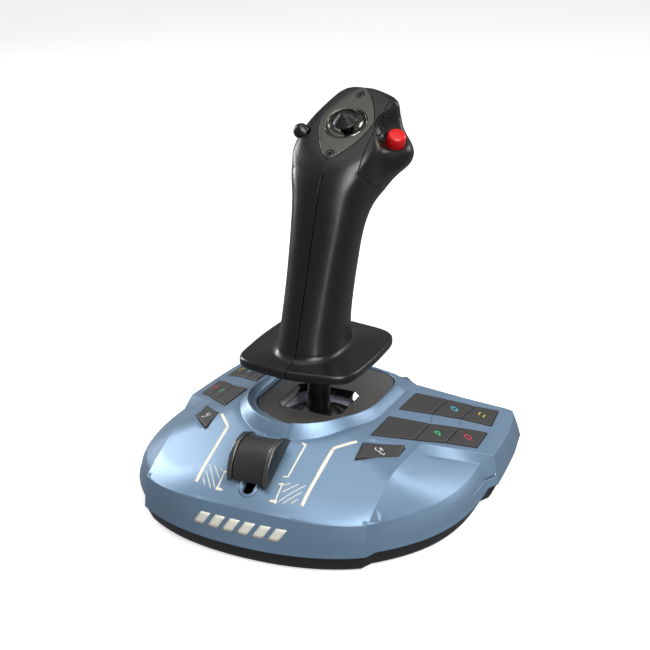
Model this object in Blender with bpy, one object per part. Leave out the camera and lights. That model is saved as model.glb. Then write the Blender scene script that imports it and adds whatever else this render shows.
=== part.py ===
"""Desk flight stick: a swept base with fourteen keys and a throttle, and a twisting pistol-shaped grip.

Frame: +X is the pilot's right, +Y points away from the pilot, +Z is up.
The origin is the centre of the footprint, on the desk.  All sizes are in millimetres until the
mesh is made, where MM turns them into metres.
"""
import math

import bmesh
import bpy
from mathutils import Matrix, Vector
from mathutils.geometry import delaunay_2d_cdt

MM = 0.001
GAP = 0.3                  # clearance between neighbouring pieces
WALL = 2.6                 # wall of the base top shell

# ---- base -----------------------------------------------------------------------------------
FRONT_Y = -98.3            # front top edge on the centre line
FRONT_Z = 33.6
CREASE = (71.3, -82.2, 31.5)      # front corner where the ridge starts
VALLEY = (75.6, -73.2, 29.1)      # front end of the dished pocket
RIDGE_TOP = (72.3, 0.4)           # where the ridge turns outwards along the wing
POCKET_TOP = (77.5, -8.1, 41.8)   # high corner of the pocket
POCKET_REAR = (102.0, 24.0, 25.9)
WING_FRONT = (106.9, 35.6)
WING_REAR = (100.8, 95.5)
TAIL = (46.2, 58.0)               # where the wing's rear edge meets the round body
REAR_Y = 70.5
SKIRT_Z = 11.9                    # lower edge of the painted shell
SKIRT_FRONT_Y = -104.0
SKIRT_CREASE = (71.9, -85.4)
SKIRT_VALLEY = (75.2, -77.4)
SKIRT_POCKET = (109.2, 21.0)
SKIRT_WING_FRONT = (112.9, 28.6)
SKIRT_WING_REAR = (104.6, 100.4)
SKIRT_TAIL = (48.0, 66.0)
SKIRT_REAR_Y = 80.0
PIVOT_Y = 9.0
PIVOT_Z = 33.0
PLATE_R = 38.6             # gimbal plate: round front, straight flanks
PLATE_HALF = 34.8
PLATE_REAR = 66.0
PLATE_TOP = 56.5
PLATE_T = 4.0
RIM_Z = 60.0               # crest of the ring round the plate
RIM_REAR_Z = 57.2
RIM_R = 48.8
RIM_HALF = 46.2
APERTURE = (21.7, 15.6)    # half sizes of the eight-sided gate

COVER_Z = 1.2
GLAND = (31.0, 67.0, 44.6)
FEET = [(-82, -44), (82, -44), (-80, 62), (80, 62)]
COVER_SCREWS = [(-60, -66), (60, -66), (-56, 58), (56, 58)]

# ---- keys -----------------------------------------------------------------------------------
KEY_GAP = 0.5
KEY_PROUD = 0.7
KEY_DEPTH = 4.2
ROW_FRONT = [(48.9, -23.7), (68.2, -0.8), (82.1, 16.4), (96.6, 31.6)]
ROW_FRONT_BACK = [(48.5, 5.7), (68.3, 25.2), (82.3, 41.3), (96.0, 55.1)]
ROW_REAR = [(49.4, 19.8), (65.1, 37.2), (79.2, 51.8), (95.0, 65.1)]
ROW_REAR_BACK = [(49.8, 48.1), (66.1, 63.4), (80.8, 75.9), (92.5, 87.6)]
SHARE_KEY = [(49.4, -48.0), (67.5, -27.8), (67.3, -14.2), (48.2, -33.8)]

# ---- throttle -------------------------------------------------------------------------------
SLOPE = math.radians(20.8)        # slope of the front deck
SLOT_FRONT_Y = -87.5
SLOT_REAR_Y = -52.0
SLOT_HALF = 3.4
COLLAR_HALF = 5.6
KNOB_Y = -71.0
KNOB_Z = 47.4
KNOB_R = 17.8
KNOB_HALF = 12.6
RAIL_W = 3.0
RAIL_R = 18.8

KNOB_CHORD = 3.9

# ---- stick ----------------------------------------------------------------------------------
SHAFT_TOP = 108.0
HAT_CENTRE = 31.8                 # hat, screws and pivot, measured in the hat plate's frame
HAT_SCREWS = (4.8, 57.0)
HAT_PIVOT = -9.0
TRIGGER_PIVOT = (73.0, 198.0)
TRIGGER_HALF = 7.2
MODULE_X = 20.0
RED_BUTTON = (28.0, 59.3, 212.0)
RED_AXIS = (0.31, -0.38, 0.87)
BALL_BUTTON = (-26.5, 41.0, 217.6)
BALL_AXIS = (-0.80, -0.15, 0.58)
BULGE = (24.0, 68.0, 204.0)        # swelling under the red button: centre and half sizes
BULGE_SIZE = (12.0, 17.0, 11.0)
BULGE_BLEND = 9.0                  # width of the fillet between the swelling and the head
GRIP_RINGS = (
    # front point, rear point (y, z), half width, share of the head's outline
    ((-28.0, 88.0), (32.5, 88.0), 23.0, 0.0),
    ((-27.0, 95.5), (32.0, 95.5), 21.8, 0.0),
    ((-25.0, 99.5), (31.0, 97.5), 20.3, 0.0),
    ((-22.8, 104.5), (30.0, 100.0), 19.3, 0.0),
    ((-20.4, 111.5), (29.2, 105.0), 19.0, 0.0),
    ((-16.0, 122.5), (29.2, 112.5), 19.0, 0.0),
    ((-11.4, 135.5), (31.0, 123.5), 19.2, 0.0),
    ((-6.7, 149.0), (34.6, 135.5), 19.5, 0.0),
    ((-1.3, 164.5), (38.0, 148.5), 20.5, 0.0),
    ((3.4, 178.7), (39.8, 162.0), 21.1, 0.02),
    ((6.0, 185.5), (42.8, 170.2), 21.8, 0.1),
    ((7.2, 188.8), (49.2, 175.8), 22.8, 0.28),
    ((7.8, 190.4), (61.5, 180.4), 24.3, 0.58),
    ((8.1, 191.2), (74.0, 186.5), 26.0, 0.85),
    ((8.3, 191.6), (79.5, 196.0), 27.5, 1.0),
    ((8.4, 191.8), (80.5, 204.0), 28.0, 1.0),
    ((8.5, 191.9), (80.5, 212.0), 28.0, 1.0),
    ((8.6, 192.0), (79.8, 221.0), 28.0, 1.0),
)
HANDLE_POWER = 2.5                # squareness of the handle's section
SHOULDER_DROP = 8.0               # height of the rounded shoulder round the hat plate
SHOULDER_FULL = 0.7               # below 1 the shoulder is fuller than a quarter ellipse
HEAD_WIDE = 28.0                  # the head's tables below are for this half width
HEAD_LEFT = ((0, 0), (0.01, 7), (0.05, 15), (0.12, 21.5), (0.22, 26.5), (0.33, 28.6), (0.43, 28.6),
             (0.61, 26), (0.83, 20.5), (0.95, 17), (1, 13.5), (1, 0))
HEAD_RIGHT = ((0, 0), (0.01, 7), (0.05, 14.5), (0.12, 20), (0.22, 23.5), (0.35, 25.5), (0.5, 26.8),
              (0.65, 28.2), (0.8, 29.2), (0.9, 28), (0.97, 24.5), (1, 19.5), (1, 0))
CROWN = ((0, 0), (0.02, 3), (0.07, 7), (0.25, 14), (0.42, 17.8), (0.53, 18.6), (0.64, 17.6),
         (0.77, 15.4), (0.89, 12.4), (0.97, 10), (1, 8), (1, 0))
SHAFT_R = 7.1
DOME_R = 20.0
PALM_TOP = 94.3
PALM_T = 6.0
PALM_CROWN = 2.4                  # rise of the palm rest towards the handle
GRIP_WALL = 2.6
HAT_LOW = (20.6, 208.0)           # lower tip of the hat plate: y, z on the centre line
HAT_HIGH = (76.2, 239.3)
HAT_TILT = math.atan2(HAT_HIGH[1] - HAT_LOW[1], HAT_HIGH[0] - HAT_LOW[0])
HAT_ACROSS = 17.0
PLATE_THICK = 1.6

MATERIALS = {
    "blue_paint": ((0.17, 0.30, 0.50), 0.32, 0.35),
    "black_plastic": ((0.015, 0.015, 0.016), 0.38, 0.0),
    "cover_plastic": ((0.025, 0.026, 0.028), 0.5, 0.0),
    "key_plastic": ((0.045, 0.043, 0.041), 0.45, 0.0),
    "plate_grey": ((0.10, 0.095, 0.088), 0.4, 0.3),
    "rail_metal": ((0.22, 0.22, 0.21), 0.3, 0.9),
    "steel": ((0.45, 0.45, 0.46), 0.3, 1.0),
    "olive_metal": ((0.09, 0.09, 0.075), 0.35, 0.5),
    "bowl_tint": ((0.30, 0.33, 0.50), 0.25, 0.1),
    "gloss_black": ((0.01, 0.01, 0.01), 0.12, 0.0),
    "red_plastic": ((0.65, 0.01, 0.012), 0.2, 0.0),
    "rubber": ((0.02, 0.02, 0.02), 0.8, 0.0),
    "circuit_green": ((0.01, 0.12, 0.05), 0.5, 0.0),
    "white_plastic": ((0.6, 0.6, 0.58), 0.5, 0.0),
}


# ---- small helpers --------------------------------------------------------------------------
def clear_scene():
    """Remove whatever the file holds."""
    for old in list(bpy.data.objects):
        bpy.data.objects.remove(old, do_unlink=True)


def material(name):
    """Return the named surface, made once."""
    found = bpy.data.materials.get(name)
    if found:
        return found
    colour, roughness, metallic = MATERIALS[name]
    made = bpy.data.materials.new(name)
    made.use_nodes = True
    surface = made.node_tree.nodes["Principled BSDF"]
    surface.inputs["Base Color"].default_value = (*colour, 1.0)
    surface.inputs["Roughness"].default_value = roughness
    surface.inputs["Metallic"].default_value = metallic
    return made


def finish_mesh(name, bm, surface, smooth=False):
    """Turn a bmesh in millimetres into a named object in metres, facing out."""
    bmesh.ops.scale(bm, vec=(MM, MM, MM), verts=bm.verts)
    bmesh.ops.recalc_face_normals(bm, faces=bm.faces)
    mesh = bpy.data.meshes.new(name)
    bm.to_mesh(mesh)
    bm.free()
    made = bpy.data.objects.new(name, mesh)
    bpy.context.scene.collection.objects.link(made)
    mesh.materials.append(material(surface))
    if smooth:
        mesh.shade_smooth()
        mesh.set_sharp_from_angle(angle=math.radians(35))
    return made


def carve(body, tool, operation="DIFFERENCE"):
    """Apply one Boolean to a body and throw the tool away."""
    step = body.modifiers.new("carve", "BOOLEAN")
    step.operation = operation
    step.object = tool
    bpy.context.view_layer.update()
    graph = bpy.context.evaluated_depsgraph_get()
    result = bpy.data.meshes.new_from_object(body.evaluated_get(graph))
    body.modifiers.clear()
    body.data = result
    bpy.data.objects.remove(tool, do_unlink=True)
    return body


def heal(body):
    """Close any pinhole that a cut leaves where two surfaces almost touch."""
    bm = bmesh.new()
    bm.from_mesh(body.data)
    bmesh.ops.remove_doubles(bm, verts=bm.verts, dist=MM * 0.002)
    bmesh.ops.dissolve_degenerate(bm, edges=bm.edges, dist=MM * 0.001)
    rims = [e for e in bm.edges if e.is_boundary]
    bmesh.ops.holes_fill(bm, edges=rims, sides=4)
    bm.to_mesh(body.data)
    bm.free()


def duplicate(source, name):
    """Return a separate copy with its own mesh."""
    twin = bpy.data.objects.new(name, source.data.copy())
    bpy.context.scene.collection.objects.link(twin)
    return twin


def put_origin(body, point):
    """Move an object's origin to a point in millimetres and leave its shape in place."""
    place = Vector(point) * MM
    body.data.transform(Matrix.Translation(-place))
    body.location = place
    return body


def loops_to_bmesh(loops):
    """Skin closed loops of equal length and cap both ends."""
    bm = bmesh.new()
    rings = [[bm.verts.new(point) for point in loop] for loop in loops]
    count = len(rings[0])
    for lower, upper in zip(rings, rings[1:]):
        for i in range(count):
            j = (i + 1) % count
            bm.faces.new((lower[i], lower[j], upper[j], upper[i]))
    bm.faces.new(list(reversed(rings[0])))
    bm.faces.new(rings[-1])
    return bm


def prism(name, outline, low, high, surface, place=None, smooth=False):
    """Extrude an outline in XY between two heights, then optionally place it with a matrix."""
    loops = [[(x, y, low) for x, y in outline], [(x, y, high) for x, y in outline]]
    bm = loops_to_bmesh(loops)
    if place is not None:
        bmesh.ops.transform(bm, matrix=place, verts=bm.verts)
    return finish_mesh(name, bm, surface, smooth)


def turned(name, profile, surface, place=None, segments=24):
    """Spin a closed profile of (radius, height) pairs about Z; radius 0 closes a point."""
    bm = bmesh.new()
    rows = []
    for radius, height in profile:
        if radius == 0:
            rows.append([bm.verts.new((0, 0, height))])
            continue
        row = []
        for i in range(segments):
            a = 2 * math.pi * (i + 0.5) / segments
            row.append(bm.verts.new((radius * math.cos(a), radius * math.sin(a), height)))
        rows.append(row)
    closed = all(radius > 0 for radius, _ in profile)
    pairs = list(zip(rows, rows[1:]))
    if closed:
        pairs.append((rows[-1], rows[0]))
    for a, b in pairs:
        for i in range(segments):
            j = (i + 1) % segments
            ring = [a[i % len(a)], a[j % len(a)], b[j % len(b)], b[i % len(b)]]
            unique = list(dict.fromkeys(ring))
            if len(unique) > 2:
                bm.faces.new(unique)
    if place is not None:
        bmesh.ops.transform(bm, matrix=place, verts=bm.verts)
    return finish_mesh(name, bm, surface, True)


def rod(name, start, end, radius, surface, segments=20):
    """Make a plain round bar between two points."""
    start, end = Vector(start), Vector(end)
    length = (end - start).length
    profile = [(0, 0), (radius, 0), (radius, length), (0, length)]
    return turned(name, profile, surface, aim(start, end - start), segments)


def aim(origin, direction):
    """Return the matrix that takes +Z to a direction, based at a point."""
    turn = Vector(direction).normalized().to_track_quat("Z", "Y").to_matrix().to_4x4()
    return Matrix.Translation(Vector(origin)) @ turn


def tilt_about_x(angle, y, z):
    """Return the frame whose Y axis climbs at an angle, based at (0, y, z)."""
    return Matrix.Translation((0, y, z)) @ Matrix.Rotation(angle, 4, "X")


def box(name, low, high, surface, place=None):
    """Make a block between two corners."""
    outline = [(low[0], low[1]), (high[0], low[1]), (high[0], high[1]), (low[0], high[1])]
    return prism(name, outline, low[2], high[2], surface, place)


def obround(half, y_front, y_rear, steps=8):
    """Return the outline of a slot with round ends, running along Y."""
    points = []
    for i in range(steps + 1):
        a = math.pi + math.pi * i / steps
        points.append((half * math.cos(a), y_front + half * math.sin(a)))
    for i in range(steps + 1):
        a = math.pi * i / steps
        points.append((half * math.cos(a), y_rear + half * math.sin(a)))
    return points


def blend(a, b, t):
    """Mix two points of any length."""
    return tuple(p + (q - p) * t for p, q in zip(a, b))


def bezier(p0, p1, p2, p3, t):
    """Return a point on a cubic curve."""
    s = 1 - t
    weights = (s ** 3, 3 * s * s * t, 3 * s * t * t, t ** 3)
    return tuple(sum(w * p[k] for w, p in zip(weights, (p0, p1, p2, p3))) for k in range(len(p0)))


def inset(outline, distance):
    """Move a counter-clockwise outline inwards along its corner bisectors."""
    moved = []
    count = len(outline)
    for i, here in enumerate(outline):
        before, after = outline[i - 1], outline[(i + 1) % count]
        e1 = Vector((here[0] - before[0], here[1] - before[1])).normalized()
        e2 = Vector((after[0] - here[0], after[1] - here[1])).normalized()
        n1, n2 = Vector((-e1.y, e1.x)), Vector((-e2.y, e2.x))
        bisector = (n1 + n2).normalized()
        reach = distance / max(bisector.dot(n1), 0.5)
        moved.append((here[0] + bisector.x * reach, here[1] + bisector.y * reach))
    return moved


# ---- base surface ---------------------------------------------------------------------------
def soft_min(a, b, k):
    """Take the smaller value with a rounded change-over."""
    h = max(k - abs(a - b), 0.0) / k
    return min(a, b) - h * h * k * 0.25


def wing_z(x, y):
    """Height of the flat wing that carries the keys."""
    return 78.2 - 0.464 * abs(x) - 0.035 * y


def front_edge_y(x):
    """Plan shape of the front top edge."""
    s = abs(x) / CREASE[0]
    return FRONT_Y + (CREASE[1] - FRONT_Y) * (0.2 * s ** 2 + 0.8 * s ** 4)


def body_z(x, y):
    """Height of the smooth top: sloping deck, wing and centre, with a rolled front shoulder."""
    deck = 81.1 - 0.257 * (math.hypot(x, 20) - 8.5) + 0.38 * y
    top = soft_min(soft_min(deck, wing_z(x, y), 4), 58.0, 4)
    s = abs(x) / CREASE[0]
    edge = FRONT_Z - (FRONT_Z - CREASE[2]) * s * s
    shoulder = edge + 1.0 * (y - front_edge_y(x))
    return soft_min(top, shoulder, 6)


def pocket_edge_z(y):
    """Height along the inner edge of the pocket."""
    run = (POCKET_TOP[1] - y) / (POCKET_TOP[1] - VALLEY[1])
    return body_z(72, y) - 2.9 - 1.5 * run * run


def pocket_arc(t):
    """Outer edge of the pocket from the valley to the wing."""
    return bezier(VALLEY, (98, -44, 28.4), (104, -18, 25.6), POCKET_REAR, t)


def skirt_arc(t):
    """Lower edge below the pocket."""
    return bezier(SKIRT_VALLEY, (106, -48), (111, -20), SKIRT_POCKET, t)


def half_edge(front_steps=10, arc_steps=10):
    """Return matching (top, skirt) point pairs round the right half, front to rear."""
    pairs = []
    for i in range(front_steps):
        s = i / front_steps
        x = CREASE[0] * s
        top = (x, front_edge_y(x), FRONT_Z - (FRONT_Z - CREASE[2]) * s * s)
        drop = (SKIRT_CREASE[1] - SKIRT_FRONT_Y) * (0.72 * s ** 2 + 0.28 * s ** 4)
        pairs.append((top, (SKIRT_CREASE[0] * s, SKIRT_FRONT_Y + drop)))
    pairs.append((CREASE, SKIRT_CREASE))
    for i in range(arc_steps + 1):
        pairs.append((pocket_arc(i / arc_steps), skirt_arc(i / arc_steps)))
    corner = bezier(WING_REAR, (99.8, 99.0), (98.6, 99.6), (95.6, 97.0), 0.5)
    low_corner = bezier(SKIRT_WING_REAR, (103.5, 104.4), (101.5, 105.35), (98.0, 102.4), 0.5)
    wing = [(WING_FRONT, SKIRT_WING_FRONT), ((106.2, 55), (111.6, 48)), ((104.4, 76), (109.2, 74)),
            (WING_REAR, SKIRT_WING_REAR), (corner, low_corner), ((95.6, 97.0), (98.0, 102.4)),
            ((74.1, 79.2), (76.0, 86.0)), (TAIL, SKIRT_TAIL)]
    for top, low in wing:
        pairs.append(((top[0], top[1], wing_z(*top)), low))
    rear = [((41.0, 60.4, 54.6), (43.0, 68.6)), ((34.0, 62.8, 55.4), (36.0, 72.6)),
            ((25.0, 66.2, 56.0), (26.5, 76.6)), ((13.0, 69.3, 56.3), (14.0, 79.2)),
            ((0.0, REAR_Y, 56.4), (0.0, SKIRT_REAR_Y))]
    return pairs + rear


def opening_half(radius, half, rear, steps=10):
    """Right half of the ring opening or gimbal plate: front on the centre line to the rear."""
    limit = math.asin(min(half / radius, 1.0))
    points = []
    for i in range(steps + 1):
        a = limit * i / steps
        points.append((radius * math.sin(a), PIVOT_Y - radius * math.cos(a)))
    points += [(half, PIVOT_Y + 20), (half, rear - 24), (half - 1.2, rear - 15.5)]
    points += [(half - 4.4, rear - 9.2), (half - 10, rear - 4.6), (half - 20, rear - 1.4), (0, rear)]
    return points


def mirrored(half):
    """Close a right half-outline that starts and ends on the centre line."""
    left = [(-x, y) for x, y in reversed(half) if x > 1e-6]
    return half + left


def crest_z(y):
    """Height of the ring's crest, which sinks to the plate at the rear."""
    t = min(max((y - 44) / 8, 0), 1)
    return RIM_Z + (RIM_REAR_Z - RIM_Z) * t


def inside(point, outline):
    """Say if a plan point lies inside an outline."""
    x, y = point
    hit = False
    for (x1, y1), (x2, y2) in zip(outline, outline[1:] + outline[:1]):
        if (y1 > y) != (y2 > y) and x < (x2 - x1) * (y - y1) / (y2 - y1) + x1:
            hit = not hit
    return hit


def near_line(point, line, reach):
    """Say if a point is within reach of any stretch of a line."""
    p = Vector(point)
    for a, b in zip(line, line[1:]):
        a, b = Vector(a[:2]), Vector(b[:2])
        t = max(0, min(1, (p - a).dot(b - a) / max((b - a).length_squared, 1e-9)))
        if (a + (b - a) * t - p).length < reach:
            return True
    return False


def window(front, back, margin):
    """Outline of one key opening, counter-clockwise, grown by a margin."""
    ring = [front[0], *front[1:], *reversed(back)]
    return inset(ring, -margin)


def key_windows():
    """The three openings on the right wing."""
    return [window(ROW_FRONT, ROW_FRONT_BACK, KEY_GAP), window(ROW_REAR, ROW_REAR_BACK, KEY_GAP),
            inset(SHARE_KEY, -KEY_GAP)]


def slot_half(half):
    """Right half of the throttle slot in plan, rear to front."""
    points = []
    lean = math.cos(SLOPE)
    for i in range(5):
        a = math.pi / 2 * (1 - i / 4)
        points.append((half * math.cos(a), SLOT_REAR_Y + half * lean * math.sin(a)))
    for i in range(5):
        a = -math.pi / 2 * i / 4
        points.append((half * math.cos(a), SLOT_FRONT_Y + half * lean * math.sin(a)))
    points[-1] = (0.0, points[-1][1])
    points[0] = (0.0, points[0][1])
    return points


def feature_lines():
    """Creases of the right half as 3-D polylines."""
    ridge = []
    for i in range(1, 9):
        y = CREASE[1] + (RIDGE_TOP[1] - CREASE[1]) * i / 8
        ridge.append((71.5 + 0.8 * i / 8, y, body_z(71.6, y)))
    ridge = [CREASE] + ridge
    shelf = [ridge[-1], (89.6, 18.0, wing_z(89.6, 18.0)), (*WING_FRONT, wing_z(*WING_FRONT))]
    edge = [VALLEY]
    for i in range(1, 8):
        x, y = blend(VALLEY[:2], POCKET_TOP[:2], i / 8)
        edge.append((x, y, pocket_edge_z(y)))
    edge.append(POCKET_TOP)
    lip = [POCKET_TOP, blend(POCKET_TOP, POCKET_REAR, 0.5), POCKET_REAR]
    rim = []
    limit = math.asin(RIM_HALF / RIM_R)
    for i in range(11):
        a = limit * i / 10
        x, y = RIM_R * math.sin(a), PIVOT_Y - RIM_R * math.cos(a)
        rim.append((x, y, body_z(x, y) - 0.6))
    rim.append((RIM_HALF, 36, wing_z(RIM_HALF, 36) - 0.6))
    rim.append((*TAIL, wing_z(*TAIL)))
    return ridge, shelf, edge, lip, rim


def pocket_points(lines):
    """Gently domed points across the pocket."""
    edge = lines[2]
    points = []
    for i in range(3, 8):
        start = edge[i]
        end = pocket_arc(i / 8)
        for v in (0.33, 0.67):
            x, y, z = blend(start, end, v)
            points.append((x, y, z + 6.0 * v * (1 - v)))
    return points


def skin(outline, holes, lines, extra, height, lower):
    """Triangulate a plan region with its creases; returns vertices and triangles."""
    points = []
    edges = []

    def add_line(line, closed):
        first = len(points)
        points.extend(line)
        for i in range(len(line) - 1):
            edges.append((first + i, first + i + 1))
        if closed:
            edges.append((first + len(line) - 1, first))

    add_line(outline, True)
    for hole in holes:
        add_line(hole, True)
    for line in lines:
        add_line(line, False)
    points.extend(extra)
    flat = [Vector(p[:2]) for p in points]
    verts, _, faces, origin, _, _ = delaunay_2d_cdt(flat, edges, [], 0, 1e-4)
    found = []
    for vert, source in zip(verts, origin):
        z = points[source[0]][2] if source else height(vert.x, vert.y)
        found.append((vert.x, vert.y, z - lower))
    border = [p[:2] for p in outline]
    hole_plans = [[p[:2] for p in hole] for hole in holes]
    kept = []
    for face in faces:
        cx = sum(verts[i].x for i in face) / len(face)
        cy = sum(verts[i].y for i in face) / len(face)
        if inside((cx, cy), border) and not any(inside((cx, cy), h) for h in hole_plans):
            kept.append(face)
    return found, kept


def half_outline(edge_points):
    """Close the right half in plan: edge, then back down the centre line round the openings."""
    ring = opening_half(PLATE_R + 0.7, PLATE_HALF + 0.7, PLATE_REAR + 0.6)
    ring_3d = [(x, y, crest_z(y)) for x, y in reversed(ring)]
    slot_3d = [(x, y, body_z(x, y)) for x, y in slot_half(COLLAR_HALF + GAP)]
    return list(edge_points) + ring_3d + slot_3d, ring_3d, slot_3d


def build_base_shell():
    """Painted top shell: outer skin, inner skin, window walls and skirt, then its mirror."""
    pairs = half_edge()
    top_edge = [top for top, _ in pairs]
    skirt = [low for _, low in pairs]
    outline, ring_3d, slot_3d = half_outline(top_edge)
    holes = [[(x, y, body_z(x, y)) for x, y in plan] for plan in key_windows()]
    lines = feature_lines()
    pocket = pocket_points(lines)

    avoid = [outline + outline[:1], *lines, *[hole + hole[:1] for hole in holes]]
    pocket_plan = [p[:2] for p in lines[2]] + [POCKET_REAR[:2]]
    pocket_plan += [pocket_arc(1 - i / 10)[:2] for i in range(11)]
    extra = list(pocket)
    step = 8.0
    for i in range(0, 15):
        for j in range(-14, 15):
            p = (i * step + 1.5, j * step)
            close = any(near_line(p, line, 3.2) for line in avoid)
            if close or inside(p, pocket_plan):
                continue
            extra.append((*p, body_z(*p)))
    outer, outer_faces = skin(outline, holes, lines, extra, body_z, 0.0)

    # the inner skin follows the outer one, with its border moved in by the wall
    count = len(top_edge)
    plan = [p[:2] for p in top_edge]
    closed_plan = plan + [(-x, y) for x, y in reversed(plan) if x > 1e-6]
    inner_plan = inset(closed_plan, WALL)[:count]
    closed_skirt = skirt + [(-x, y) for x, y in reversed(skirt) if x > 1e-6]
    inner_skirt = inset(closed_skirt, WALL)[:count]
    inner_plan[0] = (0.0, inner_plan[0][1])
    inner_plan[-1] = (0.0, inner_plan[-1][1])
    inner_skirt[0] = (0.0, inner_skirt[0][1])
    inner_skirt[-1] = (0.0, inner_skirt[-1][1])
    inner_edge = [(x, y, top[2]) for (x, y), top in zip(inner_plan, top_edge)]
    inner_outline = inner_edge + [(x, y, min(z, 57.0)) for x, y, z in ring_3d] + slot_3d
    inner_lines = [line[1:] if k in (0, 2) else line for k, line in enumerate(lines)]
    inner_lines[1] = lines[1][:-1]
    inner_lines[3] = lines[3][:-1]
    inner_lines[4] = lines[4][:-1]
    border = [p[:2] for p in inner_outline]
    inner_extra = [p for p in extra if inside(p[:2], border)
                   and not near_line(p[:2], [q[:2] for q in inner_edge], 2.5)]
    inner, inner_faces = skin(inner_outline, holes, inner_lines, inner_extra, body_z, WALL)

    bm = bmesh.new()

    def place(points):
        return [bm.verts.new(p) for p in points]

    outer_verts = place(outer)
    inner_verts = place(inner)
    for face in outer_faces:
        bm.faces.new([outer_verts[i] for i in face])
    for face in inner_faces:
        bm.faces.new([inner_verts[i] for i in reversed(face)])

    def strip(a, b, closed=False):
        """Join two rows of 3-D points."""
        va, vb = place(a), place(b)
        last = len(a) if closed else len(a) - 1
        for i in range(last):
            j = (i + 1) % len(a)
            bm.faces.new((va[i], va[j], vb[j], vb[i]))

    low_out = [(x, y, SKIRT_Z) for x, y in skirt]
    low_in = [(x, y, SKIRT_Z) for x, y in inner_skirt]
    strip(low_out, top_edge)
    strip(low_in, low_out)
    strip([(x, y, z - WALL) for x, y, z in inner_edge], low_in)
    strip(ring_3d, [(x, y, min(z, 57.0) - WALL) for x, y, z in ring_3d])
    strip(slot_3d, [(x, y, z - WALL) for x, y, z in slot_3d])
    for hole in holes:
        strip(hole, [(x, y, z - WALL) for x, y, z in hole], True)
    bmesh.ops.remove_doubles(bm, verts=bm.verts, dist=0.01)
    for v in bm.verts:
        if abs(v.co.x) < 0.02:
            v.co.x = 0.0
    twin = bmesh.ops.duplicate(bm, geom=bm.verts[:] + bm.edges[:] + bm.faces[:])
    copied = [g for g in twin["geom"] if isinstance(g, bmesh.types.BMVert)]
    for v in copied:
        v.co.x = -v.co.x
    bmesh.ops.remove_doubles(bm, verts=bm.verts, dist=0.01)
    # the cap left on the centre plane is not part of the shell
    flat = [f for f in bm.faces if all(abs(v.co.x) < 1e-6 for v in f.verts)]
    bmesh.ops.delete(bm, geom=flat, context="FACES")
    return finish_mesh("base_top_shell", bm, "blue_paint")


def build_base():
    """Everything that stands still on the desk apart from the gimbal."""
    shell = build_base_shell()
    inlet = Vector(GLAND)
    reach = Vector((0, 12, 0))
    carve(shell, rod("hole", inlet - reach, inlet + reach, 4.3, "rubber", 16))
    skirt = [low for _, low in half_edge()]
    closed = skirt + [(-x, y) for x, y in reversed(skirt) if x > 1e-6]
    lip = inset(closed, 1.3)

    def level(z, scale):
        return [(x * scale, y * scale, z) for x, y in lip]

    tray = [level(COVER_Z, 0.96), level(COVER_Z + 1.6, 0.972), level(SKIRT_Z - GAP, 1.0),
            level(SKIRT_Z - GAP, 0.965), level(COVER_Z + 2.5, 0.94)]
    cover = finish_mesh("bottom_cover", loops_to_bmesh(tray), "cover_plastic")
    for k, (x, y) in enumerate(FEET):
        rubber = [(0, 0), (7.5, 0), (8, 0.4), (8, COVER_Z - GAP), (0, COVER_Z - GAP)]
        turned(f"foot_{k + 1}", rubber, "rubber", Matrix.Translation((x, y, 0)), 20)
    for k, (x, y) in enumerate(COVER_SCREWS):
        carve(cover, rod("hole", (x, y, 0), (x, y, 8), 2.0, "steel", 12))
        shape = [(0, 0.3), (2.6, 0.3), (3.0, 0.5), (3.0, COVER_Z - GAP), (1.6, COVER_Z - GAP),
                 (1.6, 9.5), (0, 10.5)]
        turned(f"cover_screw_{k + 1}", shape, "steel", Matrix.Translation((x, y, 0)), 12)
    box("ballast_plate", (-52, -82, 4.6), (52, -34, 8.6), "steel")
    box("main_board", (-92, -22, 6.0), (-40, 52, 7.6), "circuit_green")
    gland = [(0, -6), (3.9, -6), (3.9, 4.0), (6.2, 4.0), (6.2, 6.0), (4.9, 11), (3.2, 13.0),
             (0, 13.0)]
    turned("cable_gland", gland, "rubber", aim(GLAND, (0, 1, 0)), 20)


def build_keys():
    """Seven keys on each wing with their switch boards."""
    half = KEY_GAP * 0.6
    for side, sign in (("left", -1), ("right", 1)):
        quads = []
        for row, front, back in (("front", ROW_FRONT, ROW_FRONT_BACK),
                                 ("rear", ROW_REAR, ROW_REAR_BACK)):
            for k, place in enumerate(("inner", "middle", "outer")):
                quad = [front[k], front[k + 1], back[k + 1], back[k]]
                quad = shrink_shared(quad, half if k else 0.0, half if k < 2 else 0.0)
                quads.append((f"key_{side}_{row}_{place}", quad))
        quads.append((f"key_{side}_share", SHARE_KEY))
        for name, quad in quads:
            crown = inset(quad, 0.5)
            loops = [[(x, y, body_z(x, y) - KEY_DEPTH) for x, y in quad],
                     [(x, y, body_z(x, y) + KEY_PROUD - 0.4) for x, y in quad],
                     [(x, y, body_z(x, y) + KEY_PROUD) for x, y in crown]]
            loops = [[(sign * x, y, z) for x, y, z in loop] for loop in loops]
            key = finish_mesh(name, loops_to_bmesh(loops), "key_plastic")
            cx = sign * sum(x for x, _ in quad) / 4
            cy = sum(y for _, y in quad) / 4
            put_origin(key, (cx, cy, body_z(cx, cy)))
        board = [(52, -12), (66, 4), (92, 33), (90, 78), (66, 56), (52, 42)]
        loops = [[(sign * x, y, wing_z(x, y) - drop) for x, y in board] for drop in (8.6, 7.0)]
        finish_mesh(f"button_board_{side}", loops_to_bmesh(loops), "circuit_green")


def shrink_shared(quad, left, right):
    """Pull in the sides that a key shares with its neighbours."""
    (a, b, c, d) = quad

    def moved(p, toward, distance):
        step = Vector((toward[0] - p[0], toward[1] - p[1])).normalized() * distance
        return (p[0] + step.x, p[1] + step.y)

    return [moved(a, b, left), moved(b, a, right), moved(c, d, right), moved(d, c, left)]


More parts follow.
